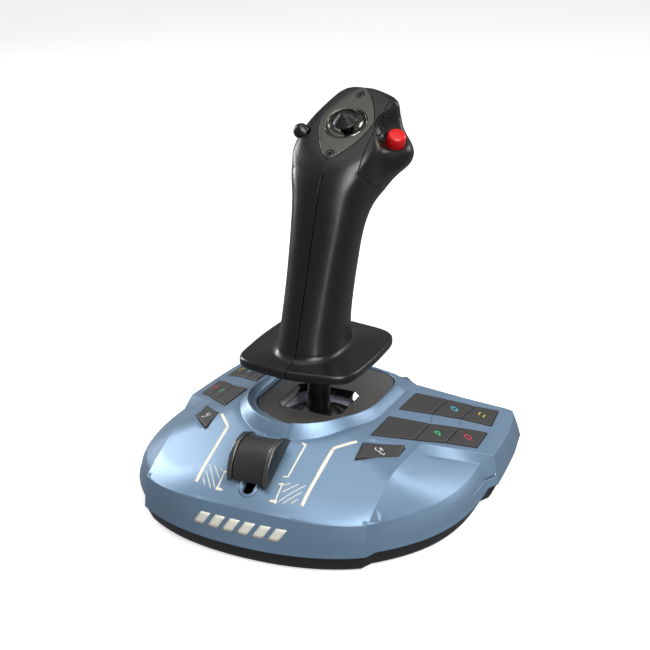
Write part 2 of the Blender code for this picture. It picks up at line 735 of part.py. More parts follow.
def octagon(half_x, half_y, cut):
    """Eight-sided outline centred on the pivot."""
    corners = [(half_x, -half_y + cut), (half_x, half_y - cut), (half_x - cut, half_y),
               (-half_x + cut, half_y), (-half_x, half_y - cut), (-half_x, -half_y + cut),
               (-half_x + cut, -half_y), (half_x - cut, -half_y)]
    return [(x, y + PIVOT_Y) for x, y in corners]


def helix(name, start, axis, radius, wire, turns, length, surface):
    """Wind a plain coil about an axis."""
    curve = bpy.data.curves.new(name, "CURVE")
    curve.dimensions = "3D"
    curve.bevel_depth = wire * MM
    curve.bevel_resolution = 1
    curve.use_fill_caps = True
    steps = int(turns * 12)
    line = curve.splines.new("POLY")
    line.points.add(steps)
    place = aim(start, axis)
    for i in range(steps + 1):
        a = 2 * math.pi * i / 12
        p = place @ Vector((radius * math.cos(a), radius * math.sin(a), length * i / steps))
        line.points[i].co = (*(p * MM), 1)
    coil = bpy.data.objects.new(name, curve)
    coil.data.materials.append(material(surface))
    bpy.context.scene.collection.objects.link(coil)
    return coil


def build_gimbal():
    """Gate plate, bowl, housing, rolling yoke and pitching shaft."""
    plate_outline = mirrored(opening_half(PLATE_R, PLATE_HALF, PLATE_REAR))
    plate = prism("gimbal_plate", plate_outline, PLATE_TOP - PLATE_T, PLATE_TOP, "plate_grey")
    x, y = APERTURE
    gate = loops_to_bmesh([[(*p, PLATE_TOP - PLATE_T - 1) for p in octagon(x - 2.8, y - 2.4, 6)],
                           [(*p, PLATE_TOP + 0.6) for p in octagon(x + 0.3, y + 0.3, 7)]])
    carve(plate, finish_mesh("gate", gate, "plate_grey"))
    centre = Matrix.Translation((0, PIVOT_Y, 0))
    bowl = [(22.0, 45), (27.0, 52.0), (29.0, 52.0), (29.0, 50.5), (23.5, 43.6)]
    turned("gimbal_bowl", bowl, "bowl_tint", centre, 32)

    cup = [(4, 4.4), (33, 4.4), (33, 52.1), (30.4, 52.1), (30.4, 7.4), (4, 7.4)]
    housing = turned("gimbal_housing", cup, "white_plastic", centre, 32)
    for sign in (-1, 1):
        low = min(sign * 23.6, sign * 31.6)
        boss = box("boss", (-6, PIVOT_Y + low, PIVOT_Z - 12), (6, PIVOT_Y + low + 8, PIVOT_Z + 7),
                   "white_plastic")
        carve(housing, boss, "UNION")
    bore = rod("bore", (0, PIVOT_Y - 29.6, PIVOT_Z), (0, PIVOT_Y + 29.6, PIVOT_Z), 3.1, "steel", 16)
    carve(housing, bore)

    yoke = box("gimbal_yoke", (-15, PIVOT_Y - 17, PIVOT_Z - 3.5), (15, PIVOT_Y + 17, PIVOT_Z + 3.5),
               "black_plastic")
    carve(yoke, box("inner", (-11, PIVOT_Y - 12, PIVOT_Z - 5), (11, PIVOT_Y + 12, PIVOT_Z + 5),
                    "black_plastic"))
    for sign in (-1, 1):
        pin = rod("pin", (0, PIVOT_Y + sign * 15, PIVOT_Z), (0, PIVOT_Y + sign * 28.5, PIVOT_Z), 2.7,
                  "steel", 16)
        carve(yoke, pin, "UNION")
    carve(yoke, rod("bore", (-16, PIVOT_Y, PIVOT_Z), (16, PIVOT_Y, PIVOT_Z), 2.7, "steel", 16))
    put_origin(yoke, (0, PIVOT_Y, PIVOT_Z))

    shaft = rod("stick_shaft", (0, PIVOT_Y, PIVOT_Z - 3), (0, PIVOT_Y, SHAFT_TOP), SHAFT_R,
                "black_plastic", 24)
    hub = rod("hub", (-14.5, PIVOT_Y, PIVOT_Z), (14.5, PIVOT_Y, PIVOT_Z), 2.3, "steel", 16)
    carve(shaft, hub, "UNION")
    put_origin(shaft, (0, PIVOT_Y, PIVOT_Z))
    dome = []
    for radius, first, last in ((DOME_R, 22, 56), (DOME_R - 1.5, 56, 25)):
        for i in range(6):
            a = math.radians(first + (last - first) * i / 5)
            dome.append((radius * math.sin(a), radius * math.cos(a)))
    cap = turned("dust_dome", dome, "gloss_black", Matrix.Translation((0, PIVOT_Y, PIVOT_Z)), 28)
    put_origin(cap, (0, PIVOT_Y, PIVOT_Z))
    helix("roll_spring", (0, PIVOT_Y + 17.9, PIVOT_Z), (0, 1, 0), 4.2, 0.45, 3, 4.6, "steel")
    helix("pitch_spring", (7.9, PIVOT_Y, PIVOT_Z), (1, 0, 0), 3.3, 0.4, 1.5, 2.2, "steel")


def arc_section(radius, chord, steps):
    """Half-disc outline above a chord, in the (along, up) plane."""
    start = math.asin(chord / radius)
    points = []
    for i in range(steps + 1):
        a = start + (math.pi - 2 * start) * i / steps
        points.append((radius * math.cos(a), radius * math.sin(a)))
    return points


def slab_across(name, section, x_low, x_high, place, surface, smooth=False):
    """Extrude an (along, up) section across X."""
    loops = [[(x, y, z) for y, z in section] for x in (x_low, x_high)]
    bm = loops_to_bmesh(loops)
    bmesh.ops.transform(bm, matrix=place, verts=bm.verts)
    return finish_mesh(name, bm, surface, smooth)


def build_throttle():
    """Half-round throttle knob that slides along a slot in the sloping deck."""
    frame = tilt_about_x(SLOPE, KNOB_Y, KNOB_Z)
    origin = (0, KNOB_Y, KNOB_Z)
    knob = slab_across("throttle_knob", arc_section(KNOB_R, KNOB_CHORD, 18), -KNOB_HALF + RAIL_W,
                       KNOB_HALF - RAIL_W, frame, "key_plastic", True)
    put_origin(knob, origin)
    for side, sign in (("left", -1), ("right", 1)):
        a, b = sign * (KNOB_HALF - RAIL_W + GAP), sign * (KNOB_HALF + 0.4)
        cheek = slab_across(f"throttle_cheek_{side}", arc_section(RAIL_R, KNOB_CHORD, 18),
                            min(a, b), max(a, b), frame, "rail_metal", True)
        put_origin(cheek, origin)
    stem = box("throttle_carriage", (-2.4, -4, -9), (2.4, 4, KNOB_CHORD - GAP), "black_plastic", frame)
    carve(stem, box("block", (-8, -7, -14), (8, 7, -8), "black_plastic", frame), "UNION")
    bore = rod("bore", frame @ Vector((0, -9, -11)), frame @ Vector((0, 9, -11)), 1.9, "steel", 12)
    carve(stem, bore)
    put_origin(stem, origin)
    rod("throttle_guide_rod", frame @ Vector((0, -22, -11)), frame @ Vector((0, 24, -11)), 1.5,
        "steel", 12)

    lean = math.cos(SLOPE)
    outer = [(x, y) for x, y in obround(COLLAR_HALF, SLOT_FRONT_Y, SLOT_REAR_Y, 8)]
    inner = [(x, y) for x, y in obround(SLOT_HALF, SLOT_FRONT_Y, SLOT_REAR_Y, 8)]
    rings = []
    for ring in (outer, inner):
        flat = [(x, squeeze(y, lean)) for x, y in ring]
        rings.append(flat)
    bm = bmesh.new()
    rows = []
    for ring, drop in ((rings[0], 4.0), (rings[0], -0.2), (rings[1], -0.2), (rings[1], 4.0)):
        rows.append([bm.verts.new((x, y, body_z(x, y) - drop)) for x, y in ring])
    count = len(rings[0])
    for a, b in zip(rows, rows[1:] + rows[:1]):
        for i in range(count):
            j = (i + 1) % count
            bm.faces.new((a[i], a[j], b[j], b[i]))
    finish_mesh("slot_collar", bm, "blue_paint")


def squeeze(y, lean):
    """Foreshorten a round slot end for the slope of the deck."""
    if y < SLOT_FRONT_Y:
        return SLOT_FRONT_Y + (y - SLOT_FRONT_Y) * lean
    if y > SLOT_REAR_Y:
        return SLOT_REAR_Y + (y - SLOT_REAR_Y) * lean
    return y


# ---- grip -----------------------------------------------------------------------------------
def handle_half(half, steps=24):
    """Half section of the handle: (share of the depth, width) pairs from front to rear."""
    points = []
    for i in range(steps + 1):
        a = math.pi * i / steps
        v = 0.5 - 0.5 * math.copysign(abs(math.cos(a)) ** (2 / HANDLE_POWER), math.cos(a))
        points.append((v, half * math.sin(a) ** (2 / HANDLE_POWER) if 0 < i < steps else 0.0))
    return points


def resample(table, depth, count):
    """Walk a half section in equal steps; returns count + 1 (share, width) pairs."""
    scaled = [Vector((v * depth, x)) for v, x in table]
    reach = [0.0]
    for a, b in zip(scaled, scaled[1:]):
        reach.append(reach[-1] + (b - a).length)
    points = []
    k = 0
    for i in range(count + 1):
        goal = reach[-1] * i / count
        while k < len(reach) - 2 and reach[k + 1] < goal:
            k += 1
        share = (goal - reach[k]) / max(reach[k + 1] - reach[k], 1e-9)
        p = scaled[k].lerp(scaled[k + 1], min(share, 1.0))
        points.append((p.x / depth, p.y))
    return points


def swollen(centre, point):
    """Push a ring point outwards until it clears the swelling, with a soft change-over."""
    away = Vector(point) - Vector(centre)
    base = away.length
    away.normalize()

    def depth(t):
        q = Vector(centre) + away * t - Vector(BULGE)
        near = Vector((q[i] / BULGE_SIZE[i] for i in range(3)))
        slope = Vector((q[i] / BULGE_SIZE[i] ** 2 for i in range(3))).length
        ball = near.length * (near.length - 1) / max(slope, 1e-6)
        return soft_min(t - base, ball, BULGE_BLEND)

    low, high = base, base + 30
    if depth(low) >= 0:
        return point
    for _ in range(24):
        middle = (low + high) / 2
        if depth(middle) < 0:
            low = middle
        else:
            high = middle
    return tuple(Vector(centre) + away * low)


def grip_ring(front, rear, half, head, crown, count, shrink=0.0, swell=True):
    """One closed section of the grip: front, right side, rear, left side."""
    f, r = Vector(front), Vector(rear)
    step = (r - f).normalized() * shrink
    f, r = f + step, r - step
    depth = (r - f).length
    centre = (0.0, *(f.lerp(r, 0.5)))
    sides = []
    for sign, table in ((1, HEAD_RIGHT), (-1, HEAD_LEFT)):
        width = half - shrink
        plain = resample(handle_half(width), depth, count // 2)
        scaled = [(v, x * width / HEAD_WIDE) for v, x in table]
        broad = resample(scaled, depth, count // 2)
        narrow = resample(CROWN, depth, count // 2)
        side = []
        for a, b, c in zip(plain, broad, narrow):
            v, x = blend(blend(a, b, head), c, crown)
            y, z = f.lerp(r, v)
            point = (sign * x, y, z)
            side.append(swollen(centre, point) if swell and sign > 0 and x > 1 else point)
        sides.append(side)
    right, left = sides
    return right + left[-2:0:-1]


def grip_body(shrink, first=0, last=None, count=32):
    """Rings of the handle and head up to the shoulder; shrink makes the hollow inside it."""
    return [grip_ring(*spec, 0.0, count, shrink, shrink == 0)
            for spec in GRIP_RINGS[first:last]]


def shoulder_rings(count=32):
    """Rings that round the head over to the flat seat of the hat plate."""
    frame = grip_frame()
    rings = []
    for turn in (0, 20, 42, 62, 78, 90):
        a = math.radians(turn)
        drop = SHOULDER_DROP * (1 - math.sin(a) ** SHOULDER_FULL)
        crown = 1 - max(math.cos(a), 0.0) ** SHOULDER_FULL
        front = frame @ Vector((0, -0.8 - 3.2 * drop + 0.13 * drop * drop, -drop))
        rear = frame @ Vector((0, 64.2 - 0.35 * drop, -drop))
        rings.append(grip_ring(front.yz, rear.yz, HEAD_WIDE, 1.0, crown, count))
    return rings


def grip_frame():
    """Frame on the hat plate: Y runs up the plate from its low tip, Z stands out of it."""
    return tilt_about_x(HAT_TILT, HAT_LOW[0], HAT_LOW[1])


def hat_outline(grow, steps=6):
    """Kite-shaped outline of the hat plate with rounded flanks."""
    length = math.hypot(HAT_HIGH[0] - HAT_LOW[0], HAT_HIGH[1] - HAT_LOW[1])
    half = [(0.0, 0.8), (2.2, 1.6), (5.9, 6.0), (12.4, 17.1), (16.2, 28.0), (HAT_ACROSS, 34.0),
            (15.6, 40.0), (12.0, 48.7), (7.6, 56.1), (3.4, 61.8), (1.6, length - 0.6),
            (0.0, length - 0.2)]
    return inset(mirrored(half), -grow)


def build_grip():
    """Two shells with a palm plate, two thumb modules and the hat plate."""
    frame = grip_frame()
    loops = grip_body(0.0) + shoulder_rings()
    whole = finish_mesh("grip", loops_to_bmesh(loops), "black_plastic", True)
    head = duplicate(whole, "head")
    palm = [[(x, y, PALM_TOP - PALM_T) for x, y in inset(palm_outline(), 1.2)],
            [(x, y, PALM_TOP - PALM_T + 1.2) for x, y in palm_outline()],
            [(x, y, PALM_TOP - 1.2) for x, y in palm_outline()],
            [(x, y, PALM_TOP) for x, y in inset(palm_outline(), 1.2)],
            [(x * 0.62, 3 + (y - 3) * 0.62, PALM_TOP + PALM_CROWN) for x, y in palm_outline()]]
    carve(whole, finish_mesh("palm", loops_to_bmesh(palm), "black_plastic"), "UNION")

    hollow = grip_body(GRIP_WALL, 2, 9, 24)
    hollow += [[(x * 0.55, y, z) for x, y, z in loop] for loop in grip_body(9.0, 9, 12, 24)]
    carve(whole, finish_mesh("hollow", loops_to_bmesh(hollow), "black_plastic"))
    carve(whole, rod("bore", (0, PIVOT_Y, 80), (0, PIVOT_Y, SHAFT_TOP + 3), SHAFT_R + 0.5, "steel"))
    carve(whole, prism("seat", hat_outline(0.35), -1.4, 3, "black_plastic", frame))
    seat = Matrix.Translation((0, HAT_CENTRE, 0))
    well = [(0, -11), (9.5, -11), (9.5, -7.4), (13.6, -7.4), (13.6, 3), (0, 3)]
    carve(whole, turned("well", well, "steel", frame @ seat, 24))
    for y in HAT_SCREWS:
        carve(whole, rod("hole", frame @ Vector((0, y, -9)), frame @ Vector((0, y, 2)), 1.8, "steel", 12))
    y, z = TRIGGER_PIVOT
    side = TRIGGER_HALF + 0.8
    carve(whole, box("slot", (-side, y - 9.5, z - 40), (side, y + 9, z + 5.5), "steel"))
    carve(whole, rod("bore", (-side - 3.5, y, z), (side + 3.5, y, z), 1.7, "steel", 12))

    shells = {}
    for side, sign in (("left", -1), ("right", 1)):
        shell = duplicate(whole, f"grip_{side}")
        low = (GAP / 2, -60, 60) if sign > 0 else (-80, -60, 60)
        high = (80, 130, 260) if sign > 0 else (-GAP / 2, 130, 260)
        carve(shell, box("half", low, high, "black_plastic"), "INTERSECT")
        carve(shell, module_cutter(sign, GAP))
        heal(shell)
        shells[side] = shell
    bpy.data.objects.remove(whole, do_unlink=True)

    for side, sign in (("left", -1), ("right", 1)):
        module = duplicate(head, f"module_{side}")
        carve(module, module_cutter(sign, 0.0), "INTERSECT")
        point, axis = (RED_BUTTON, RED_AXIS) if sign > 0 else (BALL_BUTTON, BALL_AXIS)
        reach = 6.3 if sign > 0 else 5.1
        direction = Vector(axis).normalized()
        start = Vector(point) - direction * (8 if sign > 0 else 4)
        carve(module, rod("bore", start, Vector(point) + direction * 12, reach, "steel", 20))
        shells[f"module_{side}"] = module
    bpy.data.objects.remove(head, do_unlink=True)
    for body in shells.values():
        put_origin(body, (0, PIVOT_Y, PIVOT_Z))


def palm_outline():
    """Palm rest in plan: blunt front and rear, straight flanks, round corners."""
    half = [(0.0, -38.9), (27.0, -34.2), (33.0, -32.2), (37.0, -27.6), (38.4, -21.0),
            (39.6, 6.0), (38.6, 33.0), (37.4, 39.6), (33.6, 45.0), (27.0, 48.4), (0.0, 53.4)]
    return mirrored(half)


def module_cutter(sign, grow):
    """Side block whose edge is the seam between a thumb module and the grip."""
    edge = [(22.0 - grow, 200.0), (30.0, 194.5 - grow), (52.0, 181.2 - grow),
            (80.0, 167.0 - grow), (130.0, 160.0 - grow), (130.0, 260.0), (18.5 - grow, 260.0),
            (19.0 - grow, 206.0)]
    inner = MODULE_X - grow
    loops = [[(sign * x, y, z) for y, z in edge] for x in (inner, 60.0)]
    return finish_mesh("cutter", loops_to_bmesh(loops), "black_plastic")


def build_controls():
    """Hat plate, hat, trigger and the two thumb buttons."""
    frame = grip_frame()
    plate = prism("hat_plate", hat_outline(0.0), -PLATE_THICK + 0.5, 0.5, "olive_metal", frame)
    seat = frame @ Matrix.Translation((0, HAT_CENTRE, 0))
    carve(plate, turned("hole", [(0, -4), (13.4, -4), (13.4, 3), (0, 3)], "steel", seat, 32))
    for y in HAT_SCREWS:
        tool = [(0, -4), (2.0, -4), (2.0, -0.7), (2.9, -0.4), (2.9, 2), (0, 2)]
        carve(plate, turned("hole", tool, "steel", frame @ Matrix.Translation((0, y, 0)), 16))
    for name, y in zip(("hat_screw_low", "hat_screw_high"), HAT_SCREWS):
        shape = [(0, -8), (1.4, -8), (1.4, -0.9), (2.5, -0.2), (2.5, 0.3), (0, 0.3)]
        turned(name, shape, "steel", frame @ Matrix.Translation((0, y, 0)), 16)
    bowl = [(5.2, -7.0), (9.2, -6.9), (13.1, -3.0), (13.1, 0.4), (12.6, 0.4), (11.0, -2.6),
            (8.4, -4.8), (5.2, -5.6)]
    turned("hat_bowl", bowl, "gloss_black", seat, 32)
    pivot = seat @ Vector((0, 0, HAT_PIVOT))
    ring = [(3.4, -1.1), (4.4, -1.1), (4.4, 1.1), (3.4, 1.1)]
    pivot_ring = turned("hat_pivot_ring", ring, "steel", seat @ Matrix.Translation((0, 0, HAT_PIVOT)), 20)
    put_origin(pivot_ring, pivot)
    cap = [(0, HAT_PIVOT - 1.2), (2.6, HAT_PIVOT - 1.2), (2.6, -3.2), (4.6, -1.8), (5.2, 0.4),
           (7.0, 1.0), (7.5, 1.9)]
    for i in range(4):
        r, z = 7.2 - 0.95 * i, 2.5 + 1.15 * i
        cap += [(r, z), (r - 0.6, z + 0.7)]
    cap += [(2.9, 7.1), (1.6, 7.7), (0, 7.9)]
    hat = turned("hat_cap", cap, "gloss_black", seat, 24)
    put_origin(hat, pivot)

    y, z = TRIGGER_PIVOT
    outline = [(y + 3.6, z + 1.5), (y + 1.0, z + 3.8), (y - 2.5, z + 2.8), (y - 4.0, z),
               (y - 4.6, z - 11), (y - 6.6, z - 22), (y - 7.8, z - 32), (y - 7.2, z - 36),
               (y - 5.0, z - 37.4), (y - 3.2, z - 35), (y - 0.6, z - 24), (y + 2.4, z - 12)]
    loops = [[(x, a, b) for a, b in outline] for x in (-TRIGGER_HALF, TRIGGER_HALF)]
    trigger = finish_mesh("trigger", loops_to_bmesh(loops), "black_plastic")
    carve(trigger, rod("bore", (-9, y, z), (9, y, z), 1.7, "steel", 12))
    put_origin(trigger, (0, y, z))
    end = TRIGGER_HALF + 3.8
    pin = rod("trigger_pin", (-end, y, z), (end, y, z), 1.35, "steel", 12)
    put_origin(pin, (0, y, z))

    red = [(0, -6.4), (5.9, -6.4), (5.9, 2.4), (5.5, 5.0), (5.0, 6.9), (4.4, 7.7), (3.2, 8.1), (0, 8.2)]
    button = turned("red_button", red, "red_plastic", aim(RED_BUTTON, RED_AXIS), 24)
    put_origin(button, RED_BUTTON)
    ball = [(0, -3.0), (4.6, -3.0), (4.6, 0.0), (4.3, 1.9), (3.4, 3.4), (1.9, 4.4), (0, 4.8)]
    button = turned("left_button", ball, "gloss_black", aim(BALL_BUTTON, BALL_AXIS), 24)
    put_origin(button, BALL_BUTTON)
    box("grip_board", (-0.8, 3, 120), (0.8, 24, 150), "circuit_green")


def main():
    """Build the whole stick."""
    clear_scene()
    build_base()
    build_keys()
    build_gimbal()
    build_throttle()
    build_grip()
    build_controls()


main()
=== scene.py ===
import math

import bmesh
import bpy
import numpy as np
from mathutils import Matrix, Vector
from mathutils.geometry import delaunay_2d_cdt
from mathutils.kdtree import KDTree


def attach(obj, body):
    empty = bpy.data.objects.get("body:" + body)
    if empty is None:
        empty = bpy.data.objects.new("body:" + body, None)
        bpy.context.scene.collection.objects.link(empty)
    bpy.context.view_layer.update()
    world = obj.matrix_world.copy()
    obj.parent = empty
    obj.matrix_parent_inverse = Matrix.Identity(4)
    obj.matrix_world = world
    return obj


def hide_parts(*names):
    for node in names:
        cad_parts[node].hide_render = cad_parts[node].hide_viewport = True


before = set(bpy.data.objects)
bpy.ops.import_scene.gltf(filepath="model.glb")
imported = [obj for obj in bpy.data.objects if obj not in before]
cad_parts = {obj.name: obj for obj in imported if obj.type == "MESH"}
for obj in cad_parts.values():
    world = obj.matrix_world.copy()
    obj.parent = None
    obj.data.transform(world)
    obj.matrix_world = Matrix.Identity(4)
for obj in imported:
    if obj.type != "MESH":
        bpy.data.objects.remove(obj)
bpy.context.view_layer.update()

MM = 0.001
GAP = 0.3

# ---- base, all lengths in millimetres ---------------------------------------------------------
FRONT_Y = -98.3
FRONT_Z = 33.6
CREASE = (71.3, -82.2, 31.5)
VALLEY = (75.6, -73.2, 29.1)
RIDGE_TOP = (72.3, 0.4)
POCKET_TOP = (77.5, -8.1, 41.8)
POCKET_REAR = (102.0, 24.0, 25.9)
WING_FRONT = (106.9, 35.6)
WING_REAR = (100.8, 95.5)
TAIL = (46.2, 58.0)
REAR_Y = 70.5
SKIRT_Z = 11.9
SKIRT_FRONT_Y = -104.0
SKIRT_CREASE = (71.9, -85.4)
SKIRT_VALLEY = (75.2, -77.4)
SKIRT_POCKET = (109.2, 21.0)
SKIRT_WING_FRONT = (112.9, 28.6)
SKIRT_WING_REAR = (104.6, 100.4)
SKIRT_TAIL = (48.0, 66.0)
SKIRT_REAR_Y = 80.0
LIP_IN = 2.6
LIP_HIGH = 6.0
DECK_LEVEL = 81.1
DECK_FALL = 0.257
DECK_CLIMB = 0.38
DECK_TOP = 62.0
WING_LEVEL = 78.2
WING_FALL = 0.464
WING_SINK = 0.035
SHOULDER_RUN = 16.4
POCKET_DOME = 1.5
PIVOT_Y = 9.0
PIVOT_Z = 33.0
PLATE_R = 38.6
PLATE_HALF = 34.8
PLATE_REAR = 66.0
PLATE_TOP = 56.5
RING_Y = 5.0
RIM_HALF = 44.3
RIM_DEEP = 57.0
RIM_SINK = 0.6
RIM_FADE = 4.0
CREST_HALF = 39.5
CREST_DEEP = 52.5
CREST_END = 47.0
RIM_END = 50.0
RIM_BEHIND = 56.0
CREST_LEVELS = ((-27.0, 66.0), (12.0, 61.5), (43.0, 60.0), (46.0, 57.2))
WALL_LOW = 57.0
RING_FOOT = 52.0
GRID = 2.4
PLATE_GAP = 0.7
CHANNEL_HALF = 7.9
CHANNEL_EDGE = 0.8
CHANNEL_DEEP = 0.6
CHANNEL_START = -58.0
APERTURE = (21.3, 19.2)
APERTURE_CUT = 5.0
COVER_Z = 1.2
GLAND = (31.0, 67.0, 44.6)
FEET = ((-82, -44), (82, -44), (-80, 62), (80, 62))
KEY_GAP = 0.5
KEY_PROUD = 0.7
KEY_DEPTH = 4.2
KEY_ROUND = 0.55
KEY_EDGE = [(KEY_ROUND * (1 - math.cos(a)), KEY_ROUND * (1 - math.sin(a)))
            for a in (0.0, 0.4, 0.8, 1.2, math.pi / 2)]
ROW_FRONT = [(48.9, -23.7), (68.2, -0.8), (82.1, 16.4), (96.6, 31.6)]
ROW_FRONT_BACK = [(48.5, 5.7), (68.3, 25.2), (82.3, 41.3), (96.0, 55.1)]
ROW_REAR = [(49.4, 19.8), (65.1, 37.2), (79.2, 51.8), (95.0, 65.1)]
ROW_REAR_BACK = [(49.8, 48.1), (66.1, 63.4), (80.8, 75.9), (92.5, 87.6)]
SHARE_KEY = [(49.4, -48.0), (67.5, -27.8), (67.3, -14.2), (48.2, -33.8)]

# name, width, end width or None, and the points of each cream line on the right half
DECK_PRINT = (
    ("bracket", 2.3, None, (34.0, -88.6), (34.8, -47.3)),
    ("arm", 1.9, None, (34.6, -48.2), (35.4, -46.0), (45.2, -35.6)),
    ("line", 1.1, None, (19.4, -76.2), (19.4, -51.0)),
    ("flag", 2.0, 0.5, (19.6, -52.0), (16.2, -51.2)),
    ("hook", 1.0, None, (19.6, -75.8), (16.4, -77.0)),
    ("stem", 1.0, None, (18.4, -81.6), (18.6, -90.6)),
    ("head", 1.9, 0.8, (19.2, -81.2), (15.9, -81.9)),
    ("foot", 2.2, 0.9, (19.6, -91.0), (14.9, -91.6)),
)
HATCH = (((19.3, -81.7), (22.6, -79.0)), ((20.1, -85.8), (27.1, -77.7)),
         ((20.4, -90.9), (31.2, -76.7)), ((23.1, -91.1), (31.0, -81.4)),
         ((27.5, -89.8), (30.6, -85.8)))
MOULD_LINES = (((68.4, 26.4), (65.6, 35.9)), ((82.2, 42.4), (79.4, 50.6)))
BAR_LEAN = 14.0

# strokes of each key sign: tag, width and points, from the key's centre
SIGNS = {
    "ring": [("ring", 0.75, *[(2.0 * math.cos(math.pi * i / 8), 2.0 * math.sin(math.pi * i / 8))
                              for i in range(17)])],
    "triangle": [("a", 0.75, (-2.0, -1.6), (0.0, 2.2)), ("b", 0.75, (0.0, 2.2), (2.0, -1.6)),
                 ("c", 0.75, (2.2, -1.6), (-2.2, -1.6))],
    "square": [("a", 0.75, (-1.9, -1.9), (-1.9, 1.9)), ("b", 0.75, (1.9, -1.9), (1.9, 1.9)),
               ("c", 0.75, (-2.2, 1.9), (2.2, 1.9)), ("d", 0.75, (-2.2, -1.9), (2.2, -1.9))],
    "bars": [("a", 0.75, (-1.5, -2.0), (-1.5, 2.0)), ("b", 0.75, (1.5, -2.0), (1.5, 2.0))],
    "tray": [("tray_a", 0.6, (-2.8, 0.2), (-2.8, -1.6), (2.8, -1.6), (2.8, 0.2)),
             ("stem", 0.6, (0.0, -0.6), (0.0, 1.6)), ("tip_a", 0.6, (-1.3, 1.0), (0.0, 2.3)),
             ("tip_b", 0.6, (0.0, 2.3), (1.3, 1.0))],
}
SIGN_OF = {("front", "middle"): ("triangle", "green"), ("front", "outer"): ("square", "red"),
           ("rear", "middle"): ("ring", "cyan"), ("rear", "outer"): ("bars", "yellow")}

# ---- throttle ---------------------------------------------------------------------------------
SLOPE = math.radians(20.8)
SLOT_FRONT_Y = -87.5
SLOT_REAR_Y = -59.0
SLOT_HALF = 3.4
COLLAR_HALF = 5.6
KNOB_Y = -71.0
KNOB_Z = 47.4
KNOB_R = 17.8
KNOB_HALF = 12.6
RAIL_W = 3.0
RAIL_R = 18.8
KNOB_CHORD = 3.9
KNOB_REAR = 8.0

# ---- grip -------------------------------------------------------------------------------------
HAT_CENTRE = 31.8
HAT_SCREWS = (4.8, 57.0)
HAT_PIVOT = -9.0
TRIGGER_PIVOT = (73.0, 198.0)
TRIGGER_HALF = 7.2
MODULE_X = 20.0
RED_BUTTON = (28.0, 59.3, 212.0)
RED_AXIS = (0.31, -0.38, 0.87)
SOCKET_R = 7.7
BALL_BUTTON = (-26.5, 41.0, 217.6)
BALL_AXIS = (-0.80, -0.15, 0.58)
BULGE = (25.2, 62.7, 204.2)
BULGE_SIZE = (13.0, 15.0, 11.5)
BULGE_BLEND = 9.0
BULGE_REACH = (-14.0, 30.0)
BULGE_FROM_Z = 175.0
SCOOP_R = 15.5
SCOOP_LOW = -0.2
SCOOP_BLEND = 4.0
NECK_EASE = 8.0
HANDLE_POWER = 2.5
SHOULDER_DROP = 8.0
SHOULDER_FULL = 0.7
HEAD_WIDE = 28.0
SHAFT_R = 7.1
DOME_R = 20.0
PALM_TOP = 94.3
PALM_T = 6.0
PALM_CROWN = 2.4
PALM_LOW_ROUND = 2.0
PALM_TOP_ROUND = 2.2
PALM_FILLET = 4.2
BORE_R = SHAFT_R + 0.5
BORE_TOP = 111.0
HALF_SEAM = 0.38
MODULE_SEAM = 0.35
HAT_LOW = (20.6, 208.0)
HAT_HIGH = (76.2, 239.3)
HAT_TILT = math.atan2(HAT_HIGH[1] - HAT_LOW[1], HAT_HIGH[0] - HAT_LOW[0])
HAT_ACROSS = 17.0
GRIP_RINGS = (
    # front y, z, rear y, z, half width, share of the head's outline
    (-24.8, 99.9, 31.0, 98.8, 20.2, 0.0),
    (-22.8, 104.5, 30.2, 101.6, 19.4, 0.0),
    (-20.4, 111.5, 29.4, 106.0, 19.0, 0.0),
    (-16.0, 122.5, 29.2, 112.5, 19.0, 0.0),
    (-11.4, 135.5, 31.0, 123.5, 19.2, 0.0),
    (-6.7, 149.0, 34.6, 135.5, 19.5, 0.0),
    (-1.3, 164.5, 38.0, 148.5, 20.5, 0.0),
    (3.4, 178.7, 39.8, 162.0, 21.1, 0.02),
    (6.0, 185.5, 42.8, 170.2, 21.8, 0.1),
    (7.2, 188.8, 49.2, 175.8, 22.8, 0.28),
    (7.8, 190.4, 61.5, 180.4, 24.3, 0.58),
    (8.1, 191.2, 74.0, 186.5, 26.0, 0.85),
    (8.3, 191.6, 79.5, 196.0, 27.5, 1.0),
    (8.4, 191.8, 80.5, 204.0, 28.0, 1.0),
    (8.5, 191.9, 80.5, 212.0, 28.0, 1.0),
    (8.6, 192.0, 79.8, 221.0, 28.0, 1.0),
)
HEAD_LEFT = ((0, 0), (0.01, 7), (0.05, 15), (0.12, 21.5), (0.22, 26.5), (0.33, 28.6), (0.43, 28.6),
             (0.61, 26), (0.83, 20.5), (0.95, 17), (1, 13.5), (1, 0))
HEAD_RIGHT = ((0, 0), (0.01, 7), (0.05, 14.5), (0.12, 20), (0.22, 23.5), (0.35, 25.5), (0.5, 26.8),
              (0.65, 28.2), (0.8, 29.2), (0.9, 28), (0.97, 24.5), (1, 19.5), (1, 0))
CROWN = ((0, 0), (0.02, 3), (0.07, 7), (0.25, 14), (0.42, 17.8), (0.53, 18.6), (0.64, 17.6),
         (0.77, 15.4), (0.89, 12.4), (0.97, 10), (1, 8), (1, 0))
GRIP_COUNT = 88
GRIP_STEPS = 6


# ---- studio, in metres and degrees ------------------------------------------------------------
FLOOR = 30.0
LAMP_TARGET = Vector((0, 0, 0.10))
LAMPS = (  # name, place, width, height, watts
    ("key", (0.72, -0.62, 1.15), 0.9, 0.9, 19.0),
    ("top", (-0.1, 0.0, 1.4), 1.0, 1.0, 3.5),
    ("left", (-1.1, 0.3, 0.5), 0.25, 0.8, 9.0),
    ("front", (0.95, -0.95, 0.75), 0.1, 0.9, 3.4),
    ("rear", (0.75, 0.9, 0.7), 0.3, 0.8, 4.0),
)
CAMERA_AT = (0.3444, -0.7364, 0.4418)
CAMERA_LENS = 80.25
CAMERA_DOWN = 22.22
CAMERA_TURN = 24.54


